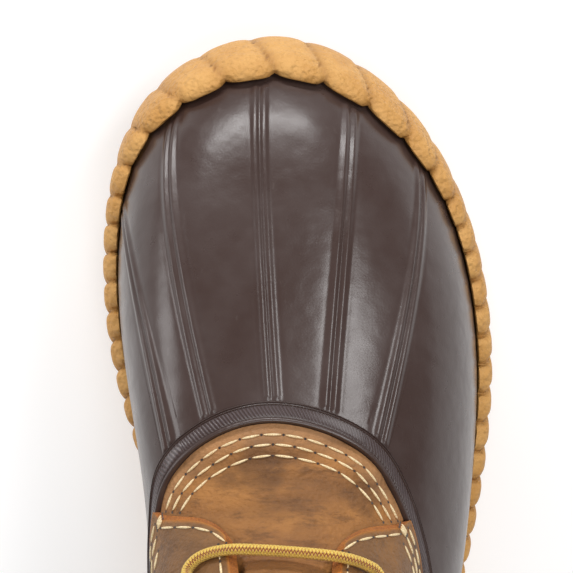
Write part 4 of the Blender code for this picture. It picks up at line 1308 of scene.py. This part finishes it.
@dataclass
class Tongue:
    """The vamp and tongue: thin creased leather behind the rim, padded under the lace."""

    upper: Upper
    wall: float = 0.0018
    skive: float = 0.0005
    padding: float = 0.0045
    sink: float = 0.0005
    ease: float = 0.0008
    lace_room: float = 0.0030
    rise_above: float = 0.016
    rounding: float = 0.30
    foot_half: float = 2.75
    top_half: float = 1.42
    crease_reach: float = 0.020
    ridge_share: float = 0.45
    ridge_shift: float = 1.7
    # Troughs over the toes: place along the foot, slope, depth and width, and where across it is deepest.
    creases: tuple[tuple[float, float, float, float, float], ...] = (
        (0.0300, 0.10, 0.00075, 0.0026, -0.012),
        (0.0238, -0.06, 0.00060, 0.0022, 0.004),
        (0.0345, -0.16, 0.00045, 0.0020, 0.014),
        (0.0180, 0.14, 0.00050, 0.0024, -0.006),
    )

    def half(self, rise: np.ndarray) -> np.ndarray:
        """Half the tongue's width in staves."""
        return mix(self.foot_half, self.top_half, smooth(1.0, 1.22, rise))

    def trough(self, points: np.ndarray) -> np.ndarray:
        """Depth of the bending creases at each place, in metres."""
        x, y = points[..., 0], points[..., 1]
        depth = np.zeros(x.shape)
        wander = ripple(points, 0.022, 5) * 0.0012
        for along, slope, deep, width, across in self.creases:
            away = (y - along - slope * (x - across) + wander) / width
            section = np.exp(-(away**2)) - self.ridge_share * np.exp(-((away - self.ridge_shift) ** 2))
            depth += deep * section * np.exp(-(((x - across) / self.crease_reach) ** 2))
        return depth * smooth(0.0395, 0.033, y)

    def face(self, stave: np.ndarray, rise: np.ndarray) -> np.ndarray:
        """How far the outer face lies off the form: lower under the quarters, to leave room for the lace."""
        first = float(self.upper.eyelet_rises()[0])
        under = smooth(0.62, 0.86, np.abs(stave - TOE)) * smooth(first - 0.07, first - 0.02, rise)
        return -self.sink - self.ease * smooth(1.05, 1.25, rise) - self.lace_room * under

    def surface(self, stave: np.ndarray, rise: np.ndarray) -> np.ndarray:
        """How far the outer face with its creases and swells lies off the form."""
        form = self.upper.last.form(stave, rise)
        trough = self.trough(form)
        swell = ripple(form, 0.03, 3) * 0.0002 * smooth(1.02, 1.08, rise)
        across = np.minimum(1.0, np.abs(stave - TOE) / self.top_half)
        soft = 0.0003 * np.cos(across * np.pi / 2) * np.sin(rise * 26) * smooth(1.4, 1.6, rise)
        return self.face(stave, rise) - trough + swell + soft

    def build(self, leather: bpy.types.Material, suede: bpy.types.Material) -> bpy.types.Object:
        """Builds the tongue.

        Args:
            leather: The finish outside.
            suede: The finish inside.

        Returns:
            The piece.
        """
        last = self.upper.last
        top = 2 + self.rise_above / float(last.climb_speed(TOE, 1.99))
        rows = (np.linspace(1.0, 1.2, 70), np.linspace(1.2, 2.0, 110)[1:], np.linspace(2, top, 14)[1:])
        rows = np.concatenate(rows)
        share = np.linspace(-1, 1, 151)
        rise, across = np.meshgrid(rows, share, indexing="ij")
        stave = TOE + across * self.half(rise)
        here = rise + np.where(rise == 1.0, last.rise_for(stave, self.upper.gap), 0)
        here -= self.rounding * np.maximum(0, rise - 2) * across**4
        face = self.face(stave, here)
        trough = self.trough(last.form(stave, here))
        outer = last.layer(stave, here, self.surface(stave, here))
        padding = self.padding * smooth(1.3, 1.5, rise) * (1 - across**2)
        wall = np.where(rise < 1.15, self.wall - self.skive, self.wall)
        inner = last.layer(stave, here, face - wall - padding)
        side = np.abs(across)
        edge = np.maximum(smooth(0.99, 1.0, side), smooth(top - 0.01, top, rise)) * 0.7
        # Painted shade in the troughs of the bending creases.
        crease = np.clip(trough / 0.0011, 0, 1) * 0.75
        # A lighter band on the vamp just above the rim.
        lightened = smooth(1.085, 1.02, rise)
        bm = bmesh.new()
        lay_wall(
            bm,
            Sheet(outer, {"crease": crease, "edge": edge, "lightened": lightened}, Coat.OUTSIDE),
            Sheet(inner, {"crease": crease * 0, "edge": edge * 0, "lightened": lightened * 0}, Coat.INSIDE),
            0.0003,
        )
        piece = make_piece("leather_tongue", bm, [leather, suede, suede], ("tongue",))
        return piece


@dataclass
class Quarters:
    """Both quarters with the shaft, cut from thick leather with raw edges and holes for the eyelets."""

    upper: Upper
    hole: float = 0.00305
    hole_clear: float = 0.0045
    punch_depth: float = 0.012
    drawn_back: tuple[float, float] = (0.0027, 0.0007)

    def staves(self, inset: float) -> np.ndarray:
        """Staves of the columns, from the outer throat edge by the heel to the inner one.

        Args:
            inset: How far the throat edges are drawn back, in metres.

        Returns:
            The staves.
        """
        half = self.upper.throat_half
        start = half + inset / float(self.upper.last.around_speed(TOE + half, 1.3))
        away = np.concatenate((np.linspace(start, 2.0, 60), np.linspace(2.0, TOE, 130)[1:]))
        return np.concatenate((TOE - away, (away - TOE)[::-1][1:]))

    def build(
        self, leather: bpy.types.Material, suede: bpy.types.Material, raw: bpy.types.Material
    ) -> bpy.types.Object:
        """Builds the quarters.

        Args:
            leather: The finish outside.
            suede: The finish inside.
            raw: The finish of the cut edge.

        Returns:
            The piece.
        """
        upper, last = self.upper, self.upper.last
        share = np.concatenate((np.linspace(0, 0.16, 24), np.linspace(0.16, 1, 54)[1:]))[:, None]
        sheets = []
        for back in self.drawn_back:
            stave = self.staves(back)
            low, high = upper.wing_rise(stave), upper.collar_rise(stave)
            climb = last.climb_speed(stave, low)
            free = smooth(0.0, 0.005, (low - 1 - last.rise_for(stave, upper.gap)) * climb)
            rise = mix(low + back * free / climb, high, share)
            sheets.append((np.broadcast_to(stave, rise.shape), rise))
        (stave, rise), (stave_inner, rise_inner) = sheets
        outer = last.layer(stave, rise, upper.surface(stave, rise))
        inner = last.layer(stave_inner, rise_inner, upper.face(stave_inner) - upper.leather)
        side = smooth(0.05, 0.0, from_toe(stave) - from_toe(stave[0, 0]))
        edge = np.maximum(smooth(0.012, 0.0, share), side)
        fold = upper.ankle_folds(last.form(stave, rise), stave)
        # Painted shade in the troughs of the ankle folds.
        marks = {"crease": np.clip(fold / 0.0012, 0, 1) * 0.55, "edge": np.broadcast_to(edge, rise.shape)}
        bm = bmesh.new()
        lay_wall(
            bm,
            Sheet(outer, marks, Coat.OUTSIDE),
            Sheet(inner, {"crease": rise * 0, "edge": rise * 0}, Coat.INSIDE),
            0.00035,
        )
        piece = make_piece("leather_quarters", bm, [leather, suede, raw], ("quarters",))
        self.punch(piece)
        return piece

    def punch(self, piece: bpy.types.Object) -> None:
        """Cuts the eyelet holes and keeps the result as the piece's mesh."""
        bm = bmesh.new()
        for side in Side:
            for k in range(self.upper.eyelet_pairs):
                stave, rise = self.upper.eyelet_place(k, side)
                matrix = self.upper.standing(stave, rise, float(self.upper.face(stave)), self.hole_clear)
                bmesh.ops.create_cone(
                    bm,
                    cap_ends=True,
                    segments=24,
                    radius1=self.hole,
                    radius2=self.hole,
                    depth=self.punch_depth,
                    matrix=matrix,
                )
        mesh = bpy.data.meshes.new("hole_cutters")
        bm.to_mesh(mesh)
        bm.free()
        cutter = bpy.data.objects.new("hole_cutters", mesh)
        bpy.context.scene.collection.objects.link(cutter)
        modifier = piece.modifiers.new("holes", "BOOLEAN")
        modifier.operation = "DIFFERENCE"
        modifier.object = cutter
        bpy.context.view_layer.update()
        cut = bpy.data.meshes.new_from_object(piece.evaluated_get(bpy.context.evaluated_depsgraph_get()))
        piece.modifiers.clear()
        piece.data = cut
        bpy.data.objects.remove(cutter)


@dataclass
class Collar:
    """The padded roll round the boot's mouth, crowned between its two seams."""

    upper: Upper
    padding: float = 0.0075
    # Shares of the collar's height, with how far it stands out there and its share of the padding.
    section: tuple[tuple[float, float, float], ...] = (
        (0.0, 0.0, 0.0),
        (0.3, 0.0008, 0.8),
        (0.75, 0.0006, 1.0),
        (1.0, -0.0014, 0.35),
    )

    def build(self, leather: bpy.types.Material, lining: bpy.types.Material) -> bpy.types.Object:
        """Builds the collar.

        Args:
            leather: The finish outside.
            lining: The finish inside.

        Returns:
            The piece.
        """
        upper, last = self.upper, self.upper.last
        away = np.linspace(upper.throat_half, TOE, 170)
        stave = np.concatenate((TOE - away, (away - TOE)[::-1][1:]))
        start = upper.collar_rise(stave) + 2 * upper.gap / last.climb_speed(stave, 1.9)
        padding = self.padding * smooth(1.5, 2.4, from_toe(stave))
        table = np.array(self.section)
        share = np.concatenate((np.linspace(0, 0.15, 8), np.linspace(0.15, 1, 22)[1:]))
        out, pad = (np.interp(share, table[:, 0], table[:, column]) for column in (1, 2))
        for line in (out, pad):
            line[1:-1] = (line[:-2] + line[1:-1] + line[2:]) / 3
        face = upper.face(stave)
        rise = mix(start, 2.0, share[:, None])
        stave_grid = np.broadcast_to(stave, rise.shape)
        form = last.form(stave_grid, rise)
        pucker = ripple(form, 0.010, 31) * 0.0003 * smooth(0.9, 0.1, share)[:, None]
        outer = last.layer(stave_grid, rise, face + out[:, None] + pucker)
        inner = last.layer(stave_grid, rise, face - upper.leather - padding * pad[:, None] + pucker)
        ends = smooth(0.05, 0.0, from_toe(stave) - upper.throat_half)
        marks = {
            # Painted shade: darker along the collar's lower edge, where it meets the quarters.
            "crease": np.broadcast_to(smooth(0.03, 0.0, share)[:, None] * 0.6, rise.shape),
            "edge": np.broadcast_to(ends * 0.5, rise.shape),
        }
        bm = bmesh.new()
        lay_wall(
            bm,
            Sheet(outer, marks, Coat.OUTSIDE),
            Sheet(inner, {name: rise * 0 for name in marks}, Coat.INSIDE),
            0.0008,
        )
        piece = make_piece("padded_collar", bm, [leather, lining, leather], ("collar",))
        return piece


@dataclass
class Backstay:
    """The strip of leather over the seam at the back of the heel."""

    upper: Upper
    half: float = 0.45
    wall: float = 0.0016

    def build(self, leather: bpy.types.Material, raw: bpy.types.Material) -> bpy.types.Object:
        """Builds the backstay.

        Args:
            leather: The finish of its faces.
            raw: The finish of its cut edge.

        Returns:
            The piece.
        """
        upper, last = self.upper, self.upper.last
        stave = np.linspace(-self.half, self.half, 41)
        share = np.linspace(0, 1, 81)[:, None]
        rise = mix(upper.wing_rise(stave % ROUND), upper.collar_rise(stave), share)
        stave = np.broadcast_to(stave, rise.shape)
        face = float(upper.face(np.array(0.0))) + 1.5 * upper.gap
        edge = smooth(self.half - 0.03, self.half, np.abs(stave)) * 0.7
        crown = 0.0003 * (1 - (stave / self.half) ** 2)
        bm = bmesh.new()
        marks = {"crease": rise * 0, "edge": edge}
        lay_wall(
            bm,
            Sheet(last.layer(stave, rise, face + self.wall + crown), marks, Coat.OUTSIDE),
            Sheet(last.layer(stave, rise, face), {name: rise * 0 for name in marks}, Coat.INSIDE),
            0.0003,
        )
        return make_piece("heel_backstay", bm, [leather, raw, raw], ("backstay",))


@dataclass
class Eyelets:
    """Twelve turned eyelets."""

    upper: Upper
    bore: float = 0.0023
    barrel: float = 0.00045
    flange: float = 0.0018
    head: float = 0.0008
    seat: float = 0.0005
    sides: int = 36

    def names(self) -> tuple[str, ...]:
        """The solids that the eyelets stand for."""
        pairs = range(self.upper.eyelet_pairs)
        return tuple(f"eyelet_{side.name.lower()}_{k + 1}" for side in Side for k in pairs)

    def profile(self) -> list[tuple[float, float]]:
        """The turned section, from the foot of the barrel up over the rolled flange."""
        wide = self.bore + self.barrel + self.flange
        low, base, top = -self.upper.leather, self.seat, self.seat + self.head
        barrel = self.bore + self.barrel
        points = [(self.bore, low), (barrel, low), (barrel, base), (wide - 0.0003, base)]
        for turn in np.linspace(0, np.pi, 9)[1:-1]:
            centre, half = (self.bore + wide) / 2, (wide - self.bore) / 2
            crown = 0.35 + 0.65 * math.sin(turn) ** 0.6
            points.append((centre + half * math.cos(turn), base + (top - base) * crown))
        points.append((self.bore, base + self.head * 0.2))
        return points

    def build(self, brass: bpy.types.Material) -> bpy.types.Object:
        """Builds the eyelets as one piece.

        Args:
            brass: Their finish.

        Returns:
            The piece.
        """
        bm = bmesh.new()
        profile = self.profile()
        reach = self.bore + self.barrel + self.flange
        for side in Side:
            for k in range(self.upper.eyelet_pairs):
                stave, rise = self.upper.eyelet_place(k, side)
                matrix = self.upper.standing(stave, rise, float(self.upper.face(stave)), reach)
                ring = [bm.verts.new((x, 0, z)) for x, z in profile]
                loop = [bm.edges.new((ring[i - 1], ring[i])) for i in range(len(ring))]
                bmesh.ops.spin(
                    bm,
                    geom=ring + loop,
                    cent=(0, 0, 0),
                    axis=(0, 0, 1),
                    angle=2 * math.pi,
                    steps=self.sides,
                    use_merge=True,
                )
                bm.verts.ensure_lookup_table()
                fresh = [vert for vert in bm.verts if not vert.tag]
                bmesh.ops.transform(bm, matrix=matrix, verts=fresh)
                for vert in fresh:
                    vert.tag = True
        return make_piece("brass_eyelets", bm, [brass], self.names())


@dataclass
class Lace:
    """One continuous lace, from under one top eyelet down to the bar and back up to the other."""

    upper: Upper
    radius: float = 0.0016
    step: float = 0.0007
    sides: int = 14
    sink: float = 0.0005
    tuck: float = 0.0002
    over_edge: float = 0.0006
    crossing_start: float = 0.42
    crossing_edge: float = 0.66
    # How far the middle of a crossing is lifted where it comes from the inner and from the outer side.
    lifts: tuple[float, float] = (0.0012, -0.0020)
    eyelet_clear: float = 0.00455
    # Three places through an eyelet: how far towards the throat and how far above the leather.
    threading: tuple[tuple[float, float], ...] = ((0.0004, 0.0022), (0.0, 0.0), (0.0004, -0.0026))
    # The bar's course on each side: shares from throat edge to eyelet, with places along the foot.
    bar_outer: tuple[tuple[float, float], ...] = (
        (-0.1, 0.0022),
        (0.25, 0.0012),
        (0.6, -0.0002),
        (0.9, -0.0018),
        (1.08, -0.0040),
    )
    bar_inner: tuple[tuple[float, float], ...] = (
        (-0.1, 0.0038),
        (0.25, 0.0034),
        (0.55, 0.0024),
        (0.82, 0.0006),
        (1.03, -0.0022),
    )

    def heights(self) -> tuple[float, float, float]:
        """Heights of the lace's middle: over the leather, on the tongue and under the leather."""
        over = self.upper.lift + self.radius + self.upper.gap
        on_tongue = self.radius + self.upper.gap - self.sink
        under = self.upper.lift - self.upper.leather - self.radius - self.tuck
        return over, on_tongue, under

    def through(self, k: int, side: Side) -> list[Vector]:
        """Points down through an eyelet, from above it to under the leather."""
        stave, rise = self.upper.eyelet_place(k, side)
        matrix = self.upper.standing(stave, rise, float(self.upper.face(stave)), self.eyelet_clear)
        return [matrix @ Vector((-side * slide, 0, z)) for slide, z in self.threading]

    def at(self, stave: float, rise: float, height: float) -> Vector:
        """One point over the form."""
        return Vector(self.upper.last.layer(stave, rise, height))

    def crossing(self, k: int, side: Side) -> list[Vector]:
        """From under eyelet k out beside the throat, over the tongue and down eyelet k + 1 opposite.

        Args:
            k: The lower eyelet's number.
            side: The side that the strand comes from.

        Returns:
            The points that the strand follows.
        """
        upper = self.upper
        over, on_tongue, under = self.heights()
        rises = upper.eyelet_rises()
        stave, rise = upper.eyelet_place(k + 1, Side(-side))
        below, _ = upper.eyelet_place(k, side)
        low = mix(rises[k], rises[k + 1], self.crossing_start)
        inside = -self.radius - 3 * upper.gap
        start = upper.beside_throat(low, side, inside)
        edge = upper.beside_throat(rise, Side(-side), inside)
        at_edge = mix(low, rise, self.crossing_edge)
        lift = self.lifts[0] if side is Side.INNER else self.lifts[1]
        points = [
            self.at(mix(below, start, 0.5), mix(rises[k], low, 0.5), under),
            self.at(mix(below, start, 0.86), mix(rises[k], low, 0.9), mix(under, on_tongue, 0.22)),
            self.at(start, low, on_tongue),
            self.at(mix(start, edge, 0.5), mix(low, rise, 0.38), mix(on_tongue, over, 0.6) + lift),
            self.at(edge, at_edge, over + self.over_edge),
            self.at(mix(edge, stave, 0.6), mix(at_edge, rise, 0.62), over + self.over_edge),
        ]
        return points + self.through(k + 1, Side(-side))

    def path(self) -> np.ndarray:
        """The whole lace as evenly spaced points."""
        upper = self.upper
        over = self.heights()[0]
        halves = {}
        for first in Side:
            points, side = list(self.through(0, first)), first
            for k in range(upper.eyelet_pairs - 1):
                points += self.crossing(k, side)
                side = Side(-side)
            halves[first] = points
        bar = []
        for side in Side:
            stave, rise = upper.eyelet_place(0, side)
            edge = TOE + side * upper.throat_half
            end = []
            for share, along in self.bar_outer if side is Side.OUTER else self.bar_inner:
                place = mix(edge, stave, share)
                level = upper.last.rise_where(place, 1.0, 1.6, lambda p, y=along: p[..., 1] > y)
                end.append(self.at(place, float(level), over))
            bar += end[::-1] if side is Side.OUTER else end
        chain = halves[Side.OUTER][::-1] + bar + halves[Side.INNER]
        points = np.array([tuple(point) for point in chain])
        return self.evened(points)

    def evened(self, points: np.ndarray) -> np.ndarray:
        """A smooth curve through the points, in even steps."""
        padded = np.concatenate((points[:1], points, points[-1:]))
        curve = []
        for a, b, c, d in zip(padded, padded[1:], padded[2:], padded[3:]):
            gaps = [max(1e-5, float(np.linalg.norm(q - p)) ** 0.5) for p, q in ((a, b), (b, c), (c, d))]
            for t in np.linspace(0, 1, 12, endpoint=False):
                m1 = gaps[1] * ((b - a) / gaps[0] - (c - a) / (gaps[0] + gaps[1]) + (c - b) / gaps[1])
                m2 = gaps[1] * ((c - b) / gaps[1] - (d - b) / (gaps[1] + gaps[2]) + (d - c) / gaps[2])
                cubic, square = t**3, t**2
                ends = b * (2 * cubic - 3 * square + 1) + c * (3 * square - 2 * cubic)
                curve.append(ends + m1 * (cubic - 2 * square + t) + m2 * (cubic - square))
        curve = np.array([*curve, points[-1]])
        run = run_along(curve)
        even = np.linspace(0, run[-1], int(run[-1] / self.step))
        return np.stack([np.interp(even, run, curve[:, axis]) for axis in range(3)], axis=-1)

    def build(self, braid: bpy.types.Material) -> bpy.types.Object:
        """Builds the lace.

        Args:
            braid: Its finish.

        Returns:
            The piece.
        """
        path = self.path()
        ahead = unit(np.gradient(path, axis=0))
        up = np.empty_like(path)
        keep = np.array((0.0, 0.15, 1.0))
        pull = keep * 0.1
        for i, direction in enumerate(ahead):
            keep = unit(keep * 0.9 + pull)
            keep = unit(keep - direction * (keep @ direction))
            up[i] = keep
        across = np.cross(ahead, up)
        turn = np.linspace(-np.pi, np.pi, self.sides + 1)
        ring = up[:, None] * np.cos(turn)[None, :, None] + across[:, None] * np.sin(turn)[None, :, None]
        points = path[:, None] + ring * self.radius
        share = np.linspace(0, 1, self.sides + 1)
        flat = np.stack(np.broadcast_arrays(run_along(path)[:, None], share[None]), axis=-1)
        bm = bmesh.new()
        Sheet(points, flat=flat).lay(bm)
        bmesh.ops.remove_doubles(bm, verts=bm.verts, dist=WELD)
        bmesh.ops.holes_fill(bm, edges=[edge for edge in bm.edges if edge.is_boundary])
        nodes = ("lace_bar", *(f"lace_crossing_{k + 1}" for k in range(self.upper.eyelet_pairs - 1)))
        return make_piece("braided_lace", bm, [braid], nodes)


@dataclass
class Stitching:
    """Rows of thick thread stitches, with their needle holes as dark discs of painted shade."""

    upper: Upper
    thread: float = 0.00038
    pitch: float = 0.0062
    hole_gap: float = 0.0011
    hole: float = 0.00040
    hole_lift: float = 0.00006
    row_steps: tuple[float, ...] = (0.0034, 0.0064, 0.0093)
    above_rim: float = 1.03
    margin: float = 0.0050
    tacks: tuple[tuple[float, float], ...] = ((10.34, 1.091), (5.37, 1.074))
    below_collar: float = 0.0026
    on_backstay: float = 0.36
    over_backstay: float = 0.0017
    tack_length: float = 0.0040
    tack_step: float = 0.0008
    runs: list[tuple[np.ndarray, np.ndarray]] = field(default_factory=list)

    def trace(
        self, stave: np.ndarray, rise: np.ndarray, offset: np.ndarray, keep: np.ndarray | None = None
    ) -> None:
        """Takes down one row as points and normals, cut where it isn't wanted.

        Args:
            stave: Staves along the row.
            rise: Rises along the row.
            offset: How far the surface lies off the form.
            keep: Where the row is sewn.
        """
        points, normals = self.upper.last.layer(stave, rise, offset), self.upper.last.normal(stave, rise)
        keep = np.ones(len(points), bool) if keep is None else keep
        ends = np.flatnonzero(np.diff(np.concatenate(([False], keep, [False])).astype(int)))
        for start, end in zip(ends[::2], ends[1::2]):
            if end - start > 3:
                self.runs.append((points[start:end], normals[start:end]))

    def tack(self, stave: float, rise: float) -> None:
        """Takes down three short stitches side by side, which hold the front corner of a quarter.

        Args:
            stave: The stave of their middle.
            rise: The rise of their middle.
        """
        last = self.upper.last
        reach = self.tack_length / 2 / float(last.around_speed(stave, rise))
        step = self.tack_step / float(last.climb_speed(stave, rise))
        for row in (-1, 0, 1):
            staves = stave + np.linspace(-reach, reach, 9)
            rises = np.full_like(staves, rise + row * step)
            self.trace(staves, rises, self.upper.surface(staves, rises))

    def plan(self, tongue: Tongue) -> None:
        """Lays out every row of stitches on the boot.

        Args:
            tongue: The tongue, whose face carries the rows over the vamp.
        """
        upper, last = self.upper, self.upper.last
        front = np.linspace(TOE - 2.7, TOE + 2.7, 500)
        away = np.linspace(0.75, TOE, 900)
        back = np.concatenate((TOE - away, away[::-1] - TOE))
        for step in self.row_steps:
            rise = 1 + last.rise_for(front, step, self.above_rim)
            clear = rise < upper.wing_rise(front) - 0.004
            self.trace(front, rise, tongue.surface(front, rise), clear)
            rise = 1 + last.rise_for(back, step, self.above_rim)
            on = upper.wing_rise(back) < 1 + last.rise_for(back, upper.gap * 1.5)
            on &= from_toe(back) < 7.5
            self.trace(back, rise, upper.surface(back, rise), on)
        for side in Side:
            away = upper.throat_half + np.linspace(0.16, 2.1, 400)
            stave = TOE + side * away
            low = upper.wing_rise(stave)
            on = low > 1 + last.rise_for(stave, 0.0035)
            rise = low + self.margin / last.climb_speed(stave, low)
            self.trace(stave, rise, upper.surface(stave, rise), on)
            rise = np.linspace(float(low[0]) + 0.035, float(upper.collar_rise(TOE)) - 0.01, 400)
            edge = np.full_like(rise, TOE + side * upper.throat_half)
            stave = edge + side * self.margin / last.around_speed(edge, rise)
            self.trace(stave, rise, upper.surface(stave, rise))
        for stave, rise in self.tacks:
            self.tack(stave, rise)
        away = np.linspace(upper.throat_half + 0.1, 7.5, 900)
        for side in Side:
            stave = TOE + side * away
            base = upper.collar_rise(stave)
            rise = base - self.below_collar / last.climb_speed(stave, base)
            self.trace(stave, rise, upper.surface(stave, rise))
            foot, top = upper.wing_rise(np.array(0.4)), upper.collar_rise(np.array(0.0))
            rise = np.linspace(float(foot) + 0.03, float(top) - 0.02, 300)
            stave = np.full_like(rise, (side * self.on_backstay) % ROUND)
            offset = float(upper.face(np.array(0.0))) + 1.5 * upper.gap + self.over_backstay
            self.trace(stave, rise, np.full_like(rise, offset))

    def lay_stitch(self, bm: bmesh.types.BMesh, a: Vector, b: Vector, up: Vector) -> None:
        """Adds one stitch from a to b as a stretched bead half sunk in the leather."""
        along = b - a
        half = along.length / 2
        ahead = along.normalized()
        side = up.cross(ahead).normalized()
        axes = (side * self.thread, ahead * half, ahead.cross(side) * -self.thread)
        matrix = Matrix(axes).transposed().to_4x4()
        matrix.translation = (a + b) / 2 + up * self.thread * 0.45
        matrix = matrix @ Matrix.Rotation(math.pi / 2, 4, "X")
        bmesh.ops.create_uvsphere(bm, u_segments=8, v_segments=8, radius=1.0, matrix=matrix)

    def build(self, thread: bpy.types.Material, shadow: bpy.types.Material) -> list[bpy.types.Object]:
        """Sews every planned row.

        Args:
            thread: The finish of the stitches.
            shadow: The finish of the needle holes, which are dark discs of painted shade.

        Returns:
            The stitches and the holes.
        """
        stitches, holes = bmesh.new(), bmesh.new()
        for points, normals in self.runs:
            run = run_along(points)
            count = max(1, round(run[-1] / self.pitch))
            marks = np.linspace(0, run[-1], count + 1)

            def at(distance: float) -> tuple[Vector, Vector]:
                """The place and the normal at a distance along the row."""
                place = Vector([float(np.interp(distance, run, points[:, axis])) for axis in range(3)])
                up = Vector([float(np.interp(distance, run, normals[:, axis])) for axis in range(3)])
                return place, up.normalized()

            for low, high in zip(marks, marks[1:]):
                a, b = at(low + self.hole_gap / 2)[0], at(high - self.hole_gap / 2)[0]
                self.lay_stitch(stitches, a, b, at((low + high) / 2)[1])
            # Each needle hole is a flat dark disc on the leather: painted shade, not a hole.
            for mark in marks:
                place, up = at(mark)
                matrix = up.to_track_quat("Z", "Y").to_matrix().to_4x4()
                matrix.translation = place + up * self.hole_lift
                bmesh.ops.create_circle(holes, cap_ends=True, segments=8, radius=self.hole, matrix=matrix)
        return [
            make_piece("waxed_stitches", stitches, [thread]),
            make_piece("painted_hole_shades", holes, [shadow]),
        ]


@dataclass
class Studio:
    """The pale floor, the soft lights and the camera straight above the boot's front."""

    look_x: float = -0.00346
    look_y: float = 0.0787
    height: float = 1.100
    lens: float = 225.8
    floor_tones: tuple[float, float] = (0.58, 0.62)
    floor_glow: float = 0.45
    sky: Color = (0.95, 0.97, 1.0)
    sky_strength: float = 0.24
    # Name, place, what it points at, width and height, and watts of each light.
    lights: tuple[tuple, ...] = (
        ("key_light", (0.53, 0.46, 0.95), (0.02, 0.05, 0.08), (0.34, 0.34), 4.0),
        ("side_light", (-0.95, 0.25, 0.42), (0, 0.05, 0.06), (0.50, 0.30), 2.6),
        ("top_light", (0.10, -0.20, 1.2), (0, 0.03, 0.08), (0.45, 0.35), 4.5),
        ("toe_light", (-0.10, 1.10, 0.53), (0, 0.12, 0.06), (1.0, 0.12), 8.5),
    )

    def soft_box(self, name: str, place: Place, aim: Place, size: tuple[float, float], power: float) -> None:
        """Adds an area light.

        Args:
            name: Its name.
            place: Where it stands.
            aim: What it points at.
            size: Its width and height in metres.
            power: Its power in watts.
        """
        light = bpy.data.lights.new(name, "AREA")
        light.shape = "RECTANGLE"
        light.size, light.size_y = size
        light.energy = power
        obj = bpy.data.objects.new(name, light)
        obj.location = place
        obj.rotation_euler = (Vector(aim) - Vector(place)).to_track_quat("-Z", "Y").to_euler()
        obj.visible_camera = False
        bpy.context.scene.collection.objects.link(obj)

    def build(self) -> None:
        """Sets up the studio."""
        bm = bmesh.new()
        bmesh.ops.create_grid(bm, x_segments=8, y_segments=8, size=3.0)
        mesh = bpy.data.meshes.new("studio_floor")
        bm.to_mesh(mesh)
        bm.free()
        floor = bpy.data.objects.new("studio_floor", mesh)
        bpy.context.scene.collection.objects.link(floor)
        recipe = Recipe("pale_floor")
        shade = recipe.noise(recipe.coordinates(Space.OBJECT), 0.4, 2.0)
        color = recipe.blend(shade, *((tone,) * 3 for tone in self.floor_tones))
        glow = {"Emission_Color": (1.0, 1.0, 1.0), "Emission_Strength": self.floor_glow}
        mesh.materials.append(recipe.shade(Base_Color=color, Roughness=0.9, **glow))
        world = bpy.data.worlds.new("studio_world")
        bpy.context.scene.world = world
        world.use_nodes = True
        background = world.node_tree.nodes["Background"]
        background.inputs["Color"].default_value = (*self.sky, 1.0)
        background.inputs["Strength"].default_value = self.sky_strength
        for light in self.lights:
            self.soft_box(*light)
        camera = bpy.data.objects.new("camera", bpy.data.cameras.new("camera"))
        camera.data.lens = self.lens
        camera.data.sensor_width = 36.0
        camera.data.clip_start, camera.data.clip_end = 0.01, 20.0
        camera.location = (self.look_x, self.look_y, self.height)
        camera.rotation_euler = (0, 0, 0)
        bpy.context.scene.collection.objects.link(camera)
        bpy.context.scene.camera = camera
        bpy.context.scene.view_settings.view_transform = "Standard"


def main() -> None:
    """Builds the dressed boot, piece by piece."""
    logging.basicConfig(level=logging.INFO, format="%(message)s", stream=sys.stdout)
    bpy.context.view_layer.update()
    last = Last()
    upper = Upper(last)
    gum, rubber = GumRubber().material(), ShellRubber().material()
    vamp_leather = OiledLeather().material()
    quarter_leather = OiledLeather(
        "quarter_leather", (0.300, 0.138, 0.042), (0.195, 0.092, 0.032), (0.080, 0.034, 0.012), 0.8
    ).material()
    collar_leather = OiledLeather(
        "collar_leather", (0.21, 0.098, 0.038), (0.135, 0.060, 0.023), (0.055, 0.023, 0.009), 0.8
    ).material()
    raw = Nap("raw_edge", (0.56, 0.185, 0.018), (0.25, 0.070, 0.008), 0.0005, 0.0005, 0.05).material()
    suede = Nap("suede_back", (0.42, 0.28, 0.16), (0.26, 0.16, 0.085)).material()
    lining = Knit("shaft_lining", (0.30, 0.22, 0.14), (0.12, 0.085, 0.05)).material()
    cloth = Knit("footbed_cloth", (0.36, 0.30, 0.22), (0.16, 0.13, 0.09), 0.0016).material()
    # Painted shade: near-black discs stand for the shade inside the needle holes.
    shadow = Nap("painted_hole_shade", (0.030, 0.013, 0.006), (0.015, 0.006, 0.003)).material()
    Outsole(last).build(gum)
    Shell(last).build(rubber, lining)
    Footbed(last).build(cloth)
    tongue = Tongue(upper)
    tongue.build(vamp_leather, suede)
    Quarters(upper).build(quarter_leather, suede, raw)
    Collar(upper).build(collar_leather, lining)
    Backstay(upper).build(quarter_leather, raw)
    Eyelets(upper).build(AntiqueBrass().material())
    Lace(upper).build(BraidedLace().material())
    stitching = Stitching(upper)
    stitching.plan(tongue)
    stitching.build(WaxedThread().material(), shadow)
    Studio().build()


if __name__ == "__main__":
    main()
